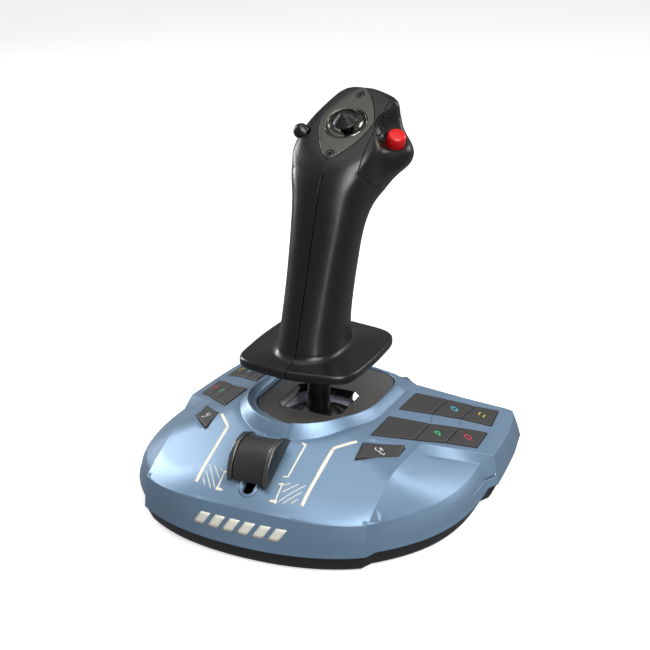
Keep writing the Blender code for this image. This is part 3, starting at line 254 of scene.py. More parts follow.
# ---- materials --------------------------------------------------------------------------------
def surface(name, colour, roughness, metallic=0.0, grain=1400.0, bump=0.1, vary=0.12, round_mm=0.35,
            wear=0.15, coat=0.0, specular=0.5, stretch=(1, 1, 1), patch=45.0, coat_rough=0.1):
    """A finish with fine grain, uneven sheen, slow colour drift and slightly worn, rounded edges."""
    made = bpy.data.materials.new(name)
    made.use_nodes = True
    nodes, links = made.node_tree.nodes, made.node_tree.links

    def node(kind, values, wires=(), **options):
        """Add a node with its options, input values and incoming links; returns its outputs."""
        new = nodes.new(f"ShaderNode{kind}")
        for key, value in options.items():
            setattr(new, key, value)
        for key, value in values.items():
            new.inputs[key].default_value = value
        for key, source in wires:
            links.new(source, new.inputs[key])
        return new.outputs

    def tint(scale, add=0.0):
        return (*[min(c * scale + add, 1) for c in colour], 1)

    where = node("TexCoord", {})["Object"]
    spread = node("Mapping", {"Scale": stretch}, [("Vector", where)])["Vector"]
    fine = node("TexNoise", {"Scale": grain, "Detail": 3.0}, [("Vector", spread)])["Fac"]
    slow = node("TexNoise", {"Scale": patch, "Detail": 4.0, "Roughness": 0.6},
                [("Vector", spread)])["Fac"]
    rounded = node("Bevel", {"Radius": round_mm * MM}, samples=4)["Normal"]
    lift = node("Bump", {"Strength": bump, "Distance": 0.0001},
                [("Height", fine), ("Normal", rounded)])["Normal"]
    sheen = node("MapRange", {"From Min": 0.3, "From Max": 0.7, "To Min": roughness * (1 - vary),
                              "To Max": min(roughness * (1 + vary), 1.0)}, [("Value", slow)])
    drift = node("Mix", {"A": tint(1 - 0.35 * vary), "B": tint(1 + 0.35 * vary)},
                 [("Factor", slow)], data_type="RGBA")
    flat = node("NewGeometry", {})["Normal"]
    turn = node("VectorMath", {}, [(0, rounded), (1, flat)], operation="DOT_PRODUCT")
    edge = node("MapRange", {"From Min": 0.995, "From Max": 0.80, "To Min": 0.0, "To Max": wear},
                [("Value", turn["Value"])])
    worn = node("Mix", {"B": tint(1.5, 0.03)},
                [("Factor", edge["Result"]), ("A", drift["Result"])], data_type="RGBA")
    shader = nodes["Principled BSDF"]
    for key, value in (("Metallic", metallic), ("Specular IOR Level", specular),
                       ("Coat Weight", coat), ("Coat Roughness", coat_rough)):
        shader.inputs[key].default_value = value
    for key, source in (("Normal", lift), ("Roughness", sheen["Result"]),
                        ("Base Color", worn["Result"])):
        links.new(source, shader.inputs[key])
    return made


PAINT = surface("blue_paint", (0.20, 0.305, 0.43), 0.38, 0.5, grain=5200, bump=0.10, vary=0.10,
                round_mm=0.9, wear=0.22, coat=0.12, coat_rough=0.25)
SEAM = surface("mould_line", (0.05, 0.10, 0.18), 0.5, 0.3)
INK = surface("cream_ink", (0.78, 0.76, 0.66), 0.5, grain=2600, bump=0.08, wear=0.0)
BLACK = surface("satin_black", (0.0055, 0.0055, 0.0057), 0.31, grain=2600, bump=0.10, vary=0.14,
                round_mm=0.5, wear=0.10)
COVER = surface("cover_black", (0.016, 0.0165, 0.0175), 0.48, grain=1700, bump=0.3, round_mm=0.6)
KEYS = surface("key_plastic", (0.040, 0.038, 0.036), 0.42, grain=1900, bump=0.22, round_mm=0.3,
               wear=0.2)
SADDLE = surface("thumb_rubber", (0.026, 0.026, 0.0265), 0.45, grain=900, bump=0.25, vary=0.3,
                 round_mm=0.4, stretch=(0.5, 2.0, 2.0))
RAIL = surface("brushed_rail", (0.17, 0.17, 0.165), 0.30, 0.9, grain=1500, bump=0.12, vary=0.35,
               round_mm=0.5, wear=0.5, stretch=(0.25, 2.5, 2.5), patch=160)
PLATE = surface("plate_grey", (0.125, 0.120, 0.110), 0.42, 0.45, grain=3800, bump=0.12,
                round_mm=0.4, coat=0.35, coat_rough=0.08)
DISH = surface("polished_olive", (0.16, 0.16, 0.14), 0.13, 0.9, grain=900, bump=0.02,
               round_mm=0.2)
GLOSS = surface("gloss_black", (0.008, 0.008, 0.0085), 0.10, grain=700, bump=0.015, vary=0.3,
                round_mm=0.35, coat=0.3)
OLIVE = surface("olive_metal", (0.085, 0.087, 0.074), 0.34, 0.55, grain=3000, bump=0.12,
                round_mm=0.3, wear=0.35)
SCREW = surface("dark_steel", (0.07, 0.07, 0.07), 0.32, 0.95, grain=2500, bump=0.08, round_mm=0.2)
STEEL = surface("steel", (0.45, 0.45, 0.46), 0.3, 1.0, grain=2500, bump=0.1)
# Lavender tint of the bowl raised close to white: painted light standing in for the light the deep,
# shaded bowl does not get.
BOWL_PAINTED_LIGHT = surface("bowl_tint", (0.80, 0.82, 0.98), 0.3, 0.0, grain=2000, bump=0.04)
RED = surface("red_plastic", (0.60, 0.003, 0.004), 0.36, grain=800, bump=0.03, vary=0.2,
              round_mm=0.5, coat=0.1)
RUBBER = surface("rubber", (0.018, 0.018, 0.018), 0.75, grain=1200, bump=0.4)
BOARD = surface("circuit_green", (0.01, 0.12, 0.05), 0.5, grain=600, bump=0.2)
WHITE = surface("white_plastic", (0.6, 0.6, 0.58), 0.5, grain=1500, bump=0.15)
MARKS = {name: surface(f"mark_{name}", colour, 0.5, wear=0.0) for name, colour in (
    ("cyan", (0.04, 0.50, 0.62)), ("yellow", (0.62, 0.52, 0.03)), ("green", (0.03, 0.55, 0.16)),
    ("red", (0.62, 0.03, 0.09)), ("white", (0.70, 0.70, 0.68)))}


# ---- mesh helpers -----------------------------------------------------------------------------
def piece(name, bm, finish, body=None, nodes=(), sharp=35.0, recalc=True, creases=()):
    """Turn a bmesh in millimetres into a smooth-shaded object and tie it to its body."""
    bmesh.ops.scale(bm, vec=(MM, MM, MM), verts=bm.verts)
    if recalc:
        bmesh.ops.recalc_face_normals(bm, faces=bm.faces)
    mesh = bpy.data.meshes.new(name)
    bm.to_mesh(mesh)
    bm.free()
    made = bpy.data.objects.new(name, mesh)
    bpy.context.scene.collection.objects.link(made)
    mesh.materials.append(finish)
    smooth(mesh, sharp)
    if creases:
        mark_creases(mesh, creases)
    if body:
        settle(made, body, nodes)
    return made


def smooth(mesh, sharp):
    """Shade a mesh smoothly, with crisp edges above an angle in degrees."""
    mesh.shade_smooth()
    mesh.set_sharp_from_angle(angle=math.radians(sharp))


def mark_creases(mesh, creases):
    """Keep the shading crisp along the given lines and their mirror images."""
    spots = [(x, y, 0) for line in creases for x, y, _ in line]
    tree = KDTree(len(spots))
    for k, spot in enumerate(spots):
        tree.insert(spot, k)
    tree.balance()
    found = [{k for _, k, _ in tree.find_range((abs(v.co.x) / MM, v.co.y / MM, 0), 0.03)}
             for v in mesh.vertices]
    breaks = {int(total) - 1 for total in np.cumsum([len(line) for line in creases])}
    for edge in mesh.edges:
        a, b = (found[k] for k in edge.vertices)
        if any(abs(p - q) == 1 and min(p, q) not in breaks for p in a for q in b):
            edge.use_edge_sharp = True


def settle(made, body, nodes=()):
    """Tie a finished object to its moving body and to the parts it stands for."""
    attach(made, body)
    if nodes:
        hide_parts(*nodes)
    return made


def carve(body, tool, operation="DIFFERENCE"):
    """Apply one Boolean to a body and throw the tool away."""
    step = body.modifiers.new("carve", "BOOLEAN")
    step.operation = operation
    step.object = tool
    bpy.context.view_layer.update()
    graph = bpy.context.evaluated_depsgraph_get()
    result = bpy.data.meshes.new_from_object(body.evaluated_get(graph))
    body.modifiers.clear()
    body.data = result
    bpy.data.objects.remove(tool, do_unlink=True)
    return body


def twin_of(source, name):
    """A separate copy with its own mesh."""
    twin = bpy.data.objects.new(name, source.data.copy())
    bpy.context.scene.collection.objects.link(twin)
    return twin


def tool(bm):
    """A cutting tool from a bmesh."""
    return piece("tool", bm, BLACK)


def moved(bm, place):
    """Place a bmesh by a matrix."""
    bmesh.ops.transform(bm, matrix=place, verts=bm.verts)
    return bm


def sheet(rows, ring=False, tube=False):
    """Faces between rows of points; ring closes each row, tube joins the last row to the first."""
    bm = bmesh.new()
    grid = [[bm.verts.new(point) for point in row] for row in rows]
    for a, b in zip(grid, grid[1:] + (grid[:1] if tube else [])):
        for i in range(len(a) if ring else len(a) - 1):
            j = (i + 1) % len(a)
            bm.faces.new((a[i], a[j], b[j], b[i]))
    return bm


def loft(loops):
    """Skin closed loops of equal length and cap both ends."""
    bm = sheet(loops, ring=True)
    verts, count = list(bm.verts), len(loops[0])
    bm.faces.new(verts[count - 1::-1])
    bm.faces.new(verts[-count:])
    return bm


def spin(profile, place=None, segments=64):
    """Spin (radius, height) pairs about Z; radius 0 closes a point."""
    bm = bmesh.new()
    rows = []
    for radius, height in profile:
        if radius == 0:
            rows.append([bm.verts.new((0, 0, height))])
            continue
        turn = [2 * math.pi * (i + 0.5) / segments for i in range(segments)]
        rows.append([bm.verts.new((radius * math.cos(a), radius * math.sin(a), height))
                     for a in turn])
    pairs = list(zip(rows, rows[1:]))
    if all(radius > 0 for radius, _ in profile):
        pairs.append((rows[-1], rows[0]))
    for a, b in pairs:
        for i in range(segments):
            j = (i + 1) % segments
            ring = [a[i % len(a)], a[j % len(a)], b[j % len(b)], b[i % len(b)]]
            unique = list(dict.fromkeys(ring))
            if len(unique) > 2:
                bm.faces.new(unique)
    return bm if place is None else moved(bm, place)


def aim(origin, direction):
    """The matrix that takes +Z to a direction, based at a point."""
    turn = Vector(direction).normalized().to_track_quat("Z", "Y").to_matrix().to_4x4()
    return Matrix.Translation(Vector(origin)) @ turn


def tilt_about_x(angle, y, z):
    """The frame whose Y axis climbs at an angle, based at (0, y, z)."""
    return Matrix.Translation((0, y, z)) @ Matrix.Rotation(angle, 4, "X")


def bar(start, end, radius, segments=24):
    """A plain round bar between two points, as a cutting tool."""
    start, end = Vector(start), Vector(end)
    length = (end - start).length
    profile = [(0, 0), (radius, 0), (radius, length), (0, length)]
    return tool(spin(profile, aim(start, end - start), segments))


def block(low, high):
    """A box between two corners, as a cutting tool."""
    outline = [(low[0], low[1]), (high[0], low[1]), (high[0], high[1]), (low[0], high[1])]
    return tool(loft([[(x, y, z) for x, y in outline] for z in (low[2], high[2])]))


def blend(a, b, t):
    """Mix two points of any length."""
    return tuple(p + (q - p) * t for p, q in zip(a, b))


def bezier(p0, p1, p2, p3, t):
    """A point on a cubic curve."""
    s = 1 - t
    weights = (s ** 3, 3 * s * s * t, 3 * s * t * t, t ** 3)
    return tuple(sum(w * p[k] for w, p in zip(weights, (p0, p1, p2, p3))) for k in range(len(p0)))


def inset(outline, distance):
    """Move a counter-clockwise outline inwards along its corner bisectors."""
    moved = []
    count = len(outline)
    for i, here in enumerate(outline):
        before, after = outline[i - 1], outline[(i + 1) % count]
        e1 = Vector((here[0] - before[0], here[1] - before[1])).normalized()
        e2 = Vector((after[0] - here[0], after[1] - here[1])).normalized()
        n1, n2 = Vector((-e1.y, e1.x)), Vector((-e2.y, e2.x))
        bisector = (n1 + n2).normalized()
        reach = distance / max(bisector.dot(n1), 0.5)
        moved.append((here[0] + bisector.x * reach, here[1] + bisector.y * reach))
    return moved


def rounded(outline, times=2):
    """Cut the corners of a closed outline until it runs smoothly."""
    for _ in range(times):
        cut = []
        for a, b in zip(outline, outline[1:] + outline[:1]):
            cut += [blend(a, b, 0.25), blend(a, b, 0.75)]
        outline = cut
    return outline


def corner_cut(outline, radius, steps=4):
    """Replace each corner of an outline by a short arc."""
    points = []
    count = len(outline)
    for i, here in enumerate(outline):
        before, after = outline[i - 1], outline[(i + 1) % count]
        a = Vector((before[0] - here[0], before[1] - here[1]))
        b = Vector((after[0] - here[0], after[1] - here[1]))
        start = Vector(here) + a.normalized() * min(radius, a.length / 2)
        end = Vector(here) + b.normalized() * min(radius, b.length / 2)
        for k in range(steps + 1):
            t = k / steps
            p = start * (1 - t) ** 2 + Vector(here) * 2 * t * (1 - t) + end * t * t
            points.append((p.x, p.y))
    return points


def last_inside(low, high, inside, steps):
    """Close in on the largest value that is still inside."""
    for _ in range(steps):
        middle = (low + high) / 2
        low, high = (middle, high) if inside(middle) else (low, middle)
    return low


def eased(points, times):
    """Smooth a closed ring of points."""
    ring = np.array(points)
    for _ in range(times):
        ring = 0.5 * ring + 0.25 * (np.roll(ring, 1, 0) + np.roll(ring, -1, 0))
    return [tuple(p) for p in ring]


def even(points, count):
    """Walk an open line of points in equal steps; returns count + 1 points."""
    line = [Vector(p) for p in points]
    reach = [0.0]
    for a, b in zip(line, line[1:]):
        reach.append(reach[-1] + (b - a).length)
    found = []
    k = 0
    for i in range(count + 1):
        goal = reach[-1] * i / count
        while k < len(reach) - 2 and reach[k + 1] < goal:
            k += 1
        share = (goal - reach[k]) / max(reach[k + 1] - reach[k], 1e-9)
        found.append(tuple(line[k].lerp(line[k + 1], min(share, 1.0))))
    return found


def quarter(steps):
    """A quarter round in equal turns: shares gone sideways and still to rise."""
    turns = [math.pi / 2 * k / steps for k in range(steps + 1)]
    return [(1 - math.cos(a), 1 - math.sin(a)) for a in turns]


def pillow(outline, low, high, soft, steps=4):
    """Loops of a slab with a rounded top edge."""
    loops = [[(x, y, low) for x, y in outline]]
    for side, below in quarter(steps):
        loops.append([(x, y, high - soft * below) for x, y in inset(outline, soft * side)])
    return loops


def slab(section, x_low, x_high, soft, place, steps=3):
    """Extrude an (along, up) section across X with rounded ends."""
    turns = quarter(steps)
    ends = [(x_low + soft * side, soft * below) for side, below in turns]
    ends += [(x_high - soft * side, soft * below) for side, below in reversed(turns)]
    return moved(loft([[(x, y, z) for y, z in inset(section, sunk)] for x, sunk in ends]), place)


# ---- base surface -----------------------------------------------------------------------------
def soft_min(a, b, k):
    """Take the smaller value with a rounded change-over."""
    h = max(k - abs(a - b), 0.0) / k
    return min(a, b) - h * h * k * 0.25


def wing_z(x, y):
    """Height of the flat wing that carries the keys."""
    return WING_LEVEL - WING_FALL * abs(x) - WING_SINK * y


def front_edge_y(x):
    """Plan shape of the front top edge."""
    s = abs(x) / CREASE[0]
    return FRONT_Y + (CREASE[1] - FRONT_Y) * (0.2 * s ** 2 + 0.8 * s ** 4)


def body_z(x, y):
    """Height of the smooth top: sloping deck, wing and centre, with a rolled front shoulder."""
    deck = DECK_LEVEL - DECK_FALL * (math.hypot(x, 20) - 8.5) + DECK_CLIMB * y
    top = soft_min(soft_min(deck, wing_z(x, y), 4), DECK_TOP, 3)
    s = abs(x) / CREASE[0]
    edge = FRONT_Z - (FRONT_Z - CREASE[2]) * s * s
    shoulder = edge + 0.25 + 1.0 * (y - front_edge_y(x))
    return soft_min(top, shoulder, 10)


def crest_z(y):
    """Height of the ring's crest: high in front, sinking to the plate behind a small notch."""
    for (y1, z1), (y2, z2) in zip(CREST_LEVELS, CREST_LEVELS[1:]):
        if y < y2:
            return z1 + (z2 - z1) * max((y - y1) / (y2 - y1), 0)
    return CREST_LEVELS[-1][1]


def ring_gap(x, y, half, deep):
    """Distance outside an outline with an oval front and straight flanks, below 0 inside it."""
    if y > RING_Y:
        return abs(x) - half
    reach = math.hypot(x / half, (y - RING_Y) / deep)
    return math.hypot(x, y - RING_Y) * (1 - 1 / max(reach, 0.1))


def hole_gap(x, y):
    """Distance outside the opening for the gate plate."""
    flank = abs(x) - PLATE_HALF - PLATE_GAP
    if y > PIVOT_Y:
        return flank
    return max(flank, math.hypot(x, y - PIVOT_Y) - PLATE_R - PLATE_GAP)


def ring_line(half, deep, ends, steps=40):
    """Right half of such an outline with its heights, front to rear."""
    turn = [math.pi / 2 * i / steps for i in range(steps + 1)]
    plan = [(half * math.sin(a), RING_Y - deep * math.cos(a)) for a in turn]
    plan += [(half, y) for y in ends]
    return [(x, y, top_z(x, y)) for x, y in plan]


def ring_slope(crest, share):
    """Line part of the way up the ring's inner wall, from the plate opening to the crest."""
    line = []
    for x, y, _ in crest:
        def at_part(part):
            return x * part, y if y > RING_Y else RING_Y + (y - RING_Y) * part

        if y > RING_Y:
            low = (PLATE_HALF + PLATE_GAP) / x
        else:
            low = last_inside(0.3, 1.0, lambda part: hole_gap(*at_part(part)) < 0, 20)
        at = at_part(low + (1 - low) * share)
        line.append((*at, top_z(*at)))
    return line


def top_z(x, y):
    """Height of the finished top outside the pocket, ring band and channel included."""
    z = body_z(x, y)
    outside = ring_gap(x, y, RIM_HALF, RIM_DEEP)
    if y > RIM_BEHIND and abs(x) < RIM_HALF:
        z = min(z, WALL_LOW)
    elif outside < 0:
        crest = crest_z(y)
        past = ring_gap(x, y, CREST_HALF, CREST_DEEP)
        if past > 0:
            z = crest + (z - RIM_SINK - crest) * past / (past - outside)
        else:
            wall = max(hole_gap(x, y), 0.0)
            z = WALL_LOW + (crest - WALL_LOW) * (wall / max(wall - past, 1e-6)) ** 3
    elif outside < RIM_FADE and y < RIM_END:
        z -= RIM_SINK * (1 - outside / RIM_FADE) ** 2
    if abs(x) < CHANNEL_HALF and CHANNEL_START < y < PIVOT_Y:
        side = min((CHANNEL_HALF - abs(x)) / CHANNEL_EDGE, 1)
        fade = min((y - CHANNEL_START) / 6, 1)
        z -= CHANNEL_DEEP * side * fade
    return z


def pocket_edge_z(y):
    """Height along the inner edge of the pocket."""
    run = (POCKET_TOP[1] - y) / (POCKET_TOP[1] - VALLEY[1])
    return body_z(72, y) - 2.9 - 1.5 * run * run


def pocket_arc(t):
    """Outer edge of the pocket from the valley to the wing."""
    return bezier(VALLEY, (98, -44, 28.4), (104, -18, 25.6), POCKET_REAR, t)


def skirt_arc(t):
    """Lower edge below the pocket."""
    return bezier(SKIRT_VALLEY, (106, -48), (111, -20), SKIRT_POCKET, t)


def front_pair(s):
    """Top and skirt points of the front wall at a share of its half width."""
    x = CREASE[0] * s
    drop = (SKIRT_CREASE[1] - SKIRT_FRONT_Y) * (0.72 * s ** 2 + 0.28 * s ** 4)
    return ((x, front_edge_y(x), FRONT_Z - (FRONT_Z - CREASE[2]) * s * s),
            (SKIRT_CREASE[0] * s, SKIRT_FRONT_Y + drop))


def half_edge(front_steps=30, arc_steps=30):
    """Matching (top, skirt, swell) triples round the right half, front to rear."""
    rows = [(*front_pair(i / front_steps), 0.5) for i in range(front_steps)]
    rows.append((CREASE, SKIRT_CREASE, 0.3))
    for i in range(arc_steps + 1):
        t = i / arc_steps
        rows.append((pocket_arc(t), skirt_arc(t), 0.3 + 1.0 * math.sin(math.pi * t)))
    corner = bezier(WING_REAR, (99.8, 99.0), (98.6, 99.6), (95.6, 97.0), 0.5)
    low_corner = bezier(SKIRT_WING_REAR, (103.5, 104.4), (101.5, 105.35), (98.0, 102.4), 0.5)
    wing = [(WING_FRONT, SKIRT_WING_FRONT), ((106.2, 55), (111.6, 48)), ((104.4, 76), (109.2, 74)),
            (WING_REAR, SKIRT_WING_REAR), (corner, low_corner), ((95.6, 97.0), (98.0, 102.4)),
            ((74.1, 79.2), (76.0, 86.0)), (TAIL, SKIRT_TAIL)]
    for top, low in wing:
        rows.append(((top[0], top[1], wing_z(*top)), low, 0.3))
    rear = [((41.0, 60.4, 54.6), (43.0, 68.6)), ((34.0, 62.8, 55.4), (36.0, 72.6)),
            ((25.0, 66.2, 56.0), (26.5, 76.6)), ((13.0, 69.3, 56.3), (14.0, 79.2)),
            ((0.0, REAR_Y, 56.4), (0.0, SKIRT_REAR_Y))]
    return rows + [(top, low, 0.2) for top, low in rear]


def opening_half(radius, half, rear, steps=36):
    """Right half of the ring opening: front on the centre line to the rear."""
    turn = [math.asin(min(half / radius, 1.0)) * i / steps for i in range(steps + 1)]
    points = [(radius * math.sin(a), PIVOT_Y - radius * math.cos(a)) for a in turn]
    points += [(half, y) for y in (PIVOT_Y - 2, PIVOT_Y + 10, PIVOT_Y + 20, rear - 24)]
    return points + [(half - 1.2, rear - 15.5), (half - 4.4, rear - 9.2), (half - 10, rear - 4.6),
                     (half - 20, rear - 1.4), (0, rear)]


def mirrored(half):
    """Close a right half-outline that starts and ends on the centre line."""
    return half + [(-x, y) for x, y in reversed(half) if x > 1e-6]


def inside_many(points, outline):
    """Which plan points lie inside an outline."""
    hit = np.zeros(len(points), bool)
    x, y = points[:, 0], points[:, 1]
    for (x1, y1), (x2, y2) in zip(outline, outline[1:] + outline[:1]):
        if y1 != y2:
            hit ^= ((y1 > y) != (y2 > y)) & (x < (x2 - x1) * (y - y1) / (y2 - y1) + x1)
    return hit


def distance_to(points, lines):
    """Distance of each plan point to the nearest stretch of any line."""
    best = np.full(len(points), 1e9)
    for line in lines:
        ends = np.array([p[:2] for p in line], float)
        for a, b in zip(ends, ends[1:]):
            ab = b - a
            t = np.clip((points - a) @ ab / max(ab @ ab, 1e-9), 0, 1)
            gap = points - a - t[:, None] * ab
            best = np.minimum(best, np.hypot(gap[:, 0], gap[:, 1]))
    return best


def slot_half(half):
    """Right half of the throttle slot in plan, rear to front."""
    points = []
    for first, y in ((math.pi / 2, SLOT_REAR_Y), (0, SLOT_FRONT_Y)):
        for i in range(13):
            a = first - math.pi / 2 * i / 12
            points.append((half * math.cos(a), y + half * math.cos(SLOPE) * math.sin(a)))
    points[0], points[-1] = (0.0, points[0][1]), (0.0, points[-1][1])
    return points


def dense(a, b, steps):
    """Points from a towards b, the last left out."""
    return [blend(a, b, i / steps) for i in range(steps)]


def feature_lines():
    """Creases of the right half as 3-D lines."""
    ridge = [CREASE]
    for i in range(1, 31):
        y = CREASE[1] + (RIDGE_TOP[1] - CREASE[1]) * i / 30
        ridge.append((71.5 + 0.8 * i / 30, y, body_z(71.6, y)))
    wing = (*WING_FRONT, wing_z(*WING_FRONT))
    shelf = dense(ridge[-1], wing, 16) + [wing]
    edge = [VALLEY]
    for i in range(1, 30):
        x, y = blend(VALLEY[:2], POCKET_TOP[:2], i / 30)
        edge.append((x, y, pocket_edge_z(y)))
    edge.append(POCKET_TOP)
    lip = dense(POCKET_TOP, POCKET_REAR, 16) + [POCKET_REAR]
    ends = (10, 16, 22, 28, 34, 40, 43, 46)
    rim = [*ring_line(RIM_HALF, RIM_DEEP, (*ends, RIM_END)), (*TAIL, wing_z(*TAIL))]
    crest = ring_line(CREST_HALF, CREST_DEEP, ends)
    return ridge, shelf, edge, lip, rim, crest


def pocket_points(edge):
    """Gently domed points across the pocket."""
    points = []
    for i in range(2, 30):
        start = edge[i]
        end = pocket_arc(i / 30)
        across = max(3, int(math.dist(start[:2], end[:2]) / 2.6))
        for j in range(1, across):
            v = j / across
            x, y, z = blend(start, end, v)
            s = i / 30
            rise = POCKET_DOME * v * (1 - v) * min(1.0, s / 0.35) * (1 - s ** 7)
            points.append((x, y, z + rise))
    return points


def key_windows():
    """The three openings on the right wing."""
    front = ROW_FRONT + ROW_FRONT_BACK[::-1]
    rear = ROW_REAR + ROW_REAR_BACK[::-1]
    return [corner_cut(inset(ring, -KEY_GAP), 0.9) for ring in (front, rear, SHARE_KEY)]


def wall_point(top, low, swell, t, out):
    """A point of the side wall between its top edge and its lower edge."""
    x, y = blend(top[:2], low, t)
    z = top[2] + (SKIRT_Z - top[2]) * t
    push = swell * math.sin(math.pi * min(t * 1.15, 1.0)) + out
    ahead = Vector((x / 1.15, y)).normalized()
    return (x + ahead.x * push if x > 0.01 else 0.0, y + ahead.y * push, z)


def plan_of(*parts):
    """The plan points of some lines, end to end."""
    return [p[:2] for part in parts for p in part]


def shell_points(outline, holes, lines):
    """Points between the lines of the top: an even grid, the rolled shoulder and the pocket."""
    ridge, shelf, edge, lip, _, _ = lines
    border = plan_of(outline)
    pocket = plan_of(edge, lip[1:], [pocket_arc(1 - i / 30) for i in range(31)])
    band = plan_of(ridge, shelf[1:], reversed(lip), reversed(edge[:-1]))
    grid = np.array([(0.9 + GRID * (i + j % 2 / 2), SKIRT_FRONT_Y + 0.87 * GRID * j)
                     for i in range(48) for j in range(100)])
    keep = inside_many(grid, border) & ~inside_many(grid, pocket) & ~inside_many(grid, band)
    for hole in holes:
        keep &= ~inside_many(grid, plan_of(hole))
    keep &= np.array([y > CREST_END or ring_gap(x, y, CREST_HALF, CREST_DEEP) > 0.4
                      for x, y in grid])
    grid = grid[keep]
    closed = [outline + outline[:1], *[hole + hole[:1] for hole in holes], *lines]
    grid = grid[distance_to(grid, closed) > 0.9]
    front = np.array([front_edge_y(x) for x in grid[:, 0]])
    on_shoulder = (grid[:, 1] < front + SHOULDER_RUN) & (grid[:, 0] < CREASE[0])
    rolled = np.array([(1.2 + 1.5 * i, front_edge_y(1.2 + 1.5 * i) + 1.3 * (j + 1))
                       for i in range(46) for j in range(12)])
    rolled = rolled[distance_to(rolled, closed) > 0.7]
    spots = np.concatenate([grid[~on_shoulder], rolled[inside_many(rolled, border)]])
    return [(x, y, top_z(x, y)) for x, y in spots] + pocket_points(edge)


def fill_top(outline, holes, lines, extra):
    """Triangulate the right half of the top through its outline, holes, lines and points."""
    points, edges = [], []
    for loop in (outline, *holes):
        edges.append((len(points) + len(loop) - 1, len(points)))
        edges.extend((len(points) + i, len(points) + i + 1) for i in range(len(loop) - 1))
        points.extend(loop)
    for line in lines:
        edges.extend((len(points) + i, len(points) + i + 1) for i in range(len(line) - 1))
        points.extend(line)
    points.extend(extra)
    flat = [Vector(p[:2]) for p in points]
    verts, _, faces, origin, _, _ = delaunay_2d_cdt(flat, edges, [], 0, 1e-4)
    bm = bmesh.new()
    placed = []
    for vert, source in zip(verts, origin):
        z = points[source[0]][2] if source else top_z(vert.x, vert.y)
        placed.append(bm.verts.new((vert.x, vert.y, z)))
    middle = np.array([sum((verts[i] for i in f), Vector((0, 0))) / len(f) for f in faces])
    wanted = inside_many(middle, plan_of(outline))
    for hole in holes:
        wanted &= ~inside_many(middle, plan_of(hole))
    for face, want in zip(faces, wanted):
        if want:
            bm.faces.new([placed[i] for i in face])
    return bm


def add_walls(bm, rows, ring, slot, holes):
    """Side wall, inner lip and the depth of each opening."""
    def strip(a, b, loop=False):
        va = [bm.verts.new(p) for p in a]
        vb = [bm.verts.new(p) for p in b]
        for i in range(len(a) if loop else len(a) - 1):
            j = (i + 1) % len(a)
            bm.faces.new((va[i], va[j], vb[j], vb[i]))

    wall = [[wall_point(*row, t, 0.0) for row in rows]
            for t in (0, 0.12, 0.3, 0.5, 0.7, 0.88, 1)]
    for upper, lower in zip(wall, wall[1:]):
        strip(lower, upper)
    plan = plan_of(wall[-1])
    inner = inset(mirrored(plan), LIP_IN)[:len(plan)]
    inner[0], inner[-1] = (0.0, inner[0][1]), (0.0, inner[-1][1])
    lip = [(x, y, SKIRT_Z) for x, y in inner]
    strip(lip, wall[-1])
    strip([(x, y, SKIRT_Z + LIP_HIGH) for x, y in inner], lip)
    strip(ring, [(x, y, RING_FOOT) for x, y, _ in ring])
    strip(slot, [(x, y, z - 4) for x, y, z in slot])
    for hole in holes:
        strip(hole, [(x, y, z - 5) for x, y, z in hole], True)


def mirror_half(bm):
    """Add the mirror image of a right half and join the two on the centre line."""
    bmesh.ops.remove_doubles(bm, verts=bm.verts, dist=0.01)
    for v in bm.verts:
        if abs(v.co.x) < 0.02:
            v.co.x = 0.0
    both = bmesh.ops.duplicate(bm, geom=bm.verts[:] + bm.edges[:] + bm.faces[:])
    for g in both["geom"]:
        if isinstance(g, bmesh.types.BMVert):
            g.co.x = -g.co.x
    bmesh.ops.remove_doubles(bm, verts=bm.verts, dist=0.01)
    flat_caps = [f for f in bm.faces if all(abs(v.co.x) < 1e-6 for v in f.verts)]
    bmesh.ops.delete(bm, geom=flat_caps, context="FACES")


def build_base_shell():
    """Painted top shell with its ring, pocket, key openings, slot and rolled skirt."""
    rows = half_edge()
    top_edge = [row[0] for row in rows]
    ring = opening_half(PLATE_R + PLATE_GAP, PLATE_HALF + PLATE_GAP, PLATE_REAR + 0.6)
    ring = [(x, y, top_z(x, y)) for x, y in reversed(ring)]
    slot = [(x, y, body_z(x, y)) for x, y in slot_half(COLLAR_HALF + GAP)]
    outline = top_edge + ring + slot
    holes = [[(x, y, body_z(x, y)) for x, y in plan] for plan in key_windows()]
    lines = feature_lines()
    channel = []
    for x in (CHANNEL_HALF, CHANNEL_HALF - CHANNEL_EDGE):
        run = [CHANNEL_START + 1.5 * i for i in range(15)]
        channel.append([(x, y, top_z(x, y)) for y in run])
    well = [ring_slope(lines[-1], share) for share in (0.45, 0.8)]
    bm = fill_top(outline, holes, (*lines, *channel, *well), shell_points(outline, holes, lines))
    add_walls(bm, rows, ring, slot, holes)
    mirror_half(bm)
    piece("shell_skin", bm, PAINT, "base", ("base_top_shell",), sharp=24,
          creases=(*lines, *channel, top_edge))


def printed(name, bm, finish, body, thick):
    """Give a printed sheet its thickness and tie it to its body."""
    made = piece(name, bm, finish, recalc=False)
    skin = made.modifiers.new("thickness", "SOLIDIFY")
    skin.thickness = thick * MM
    skin.offset = -1
    settle(made, body)


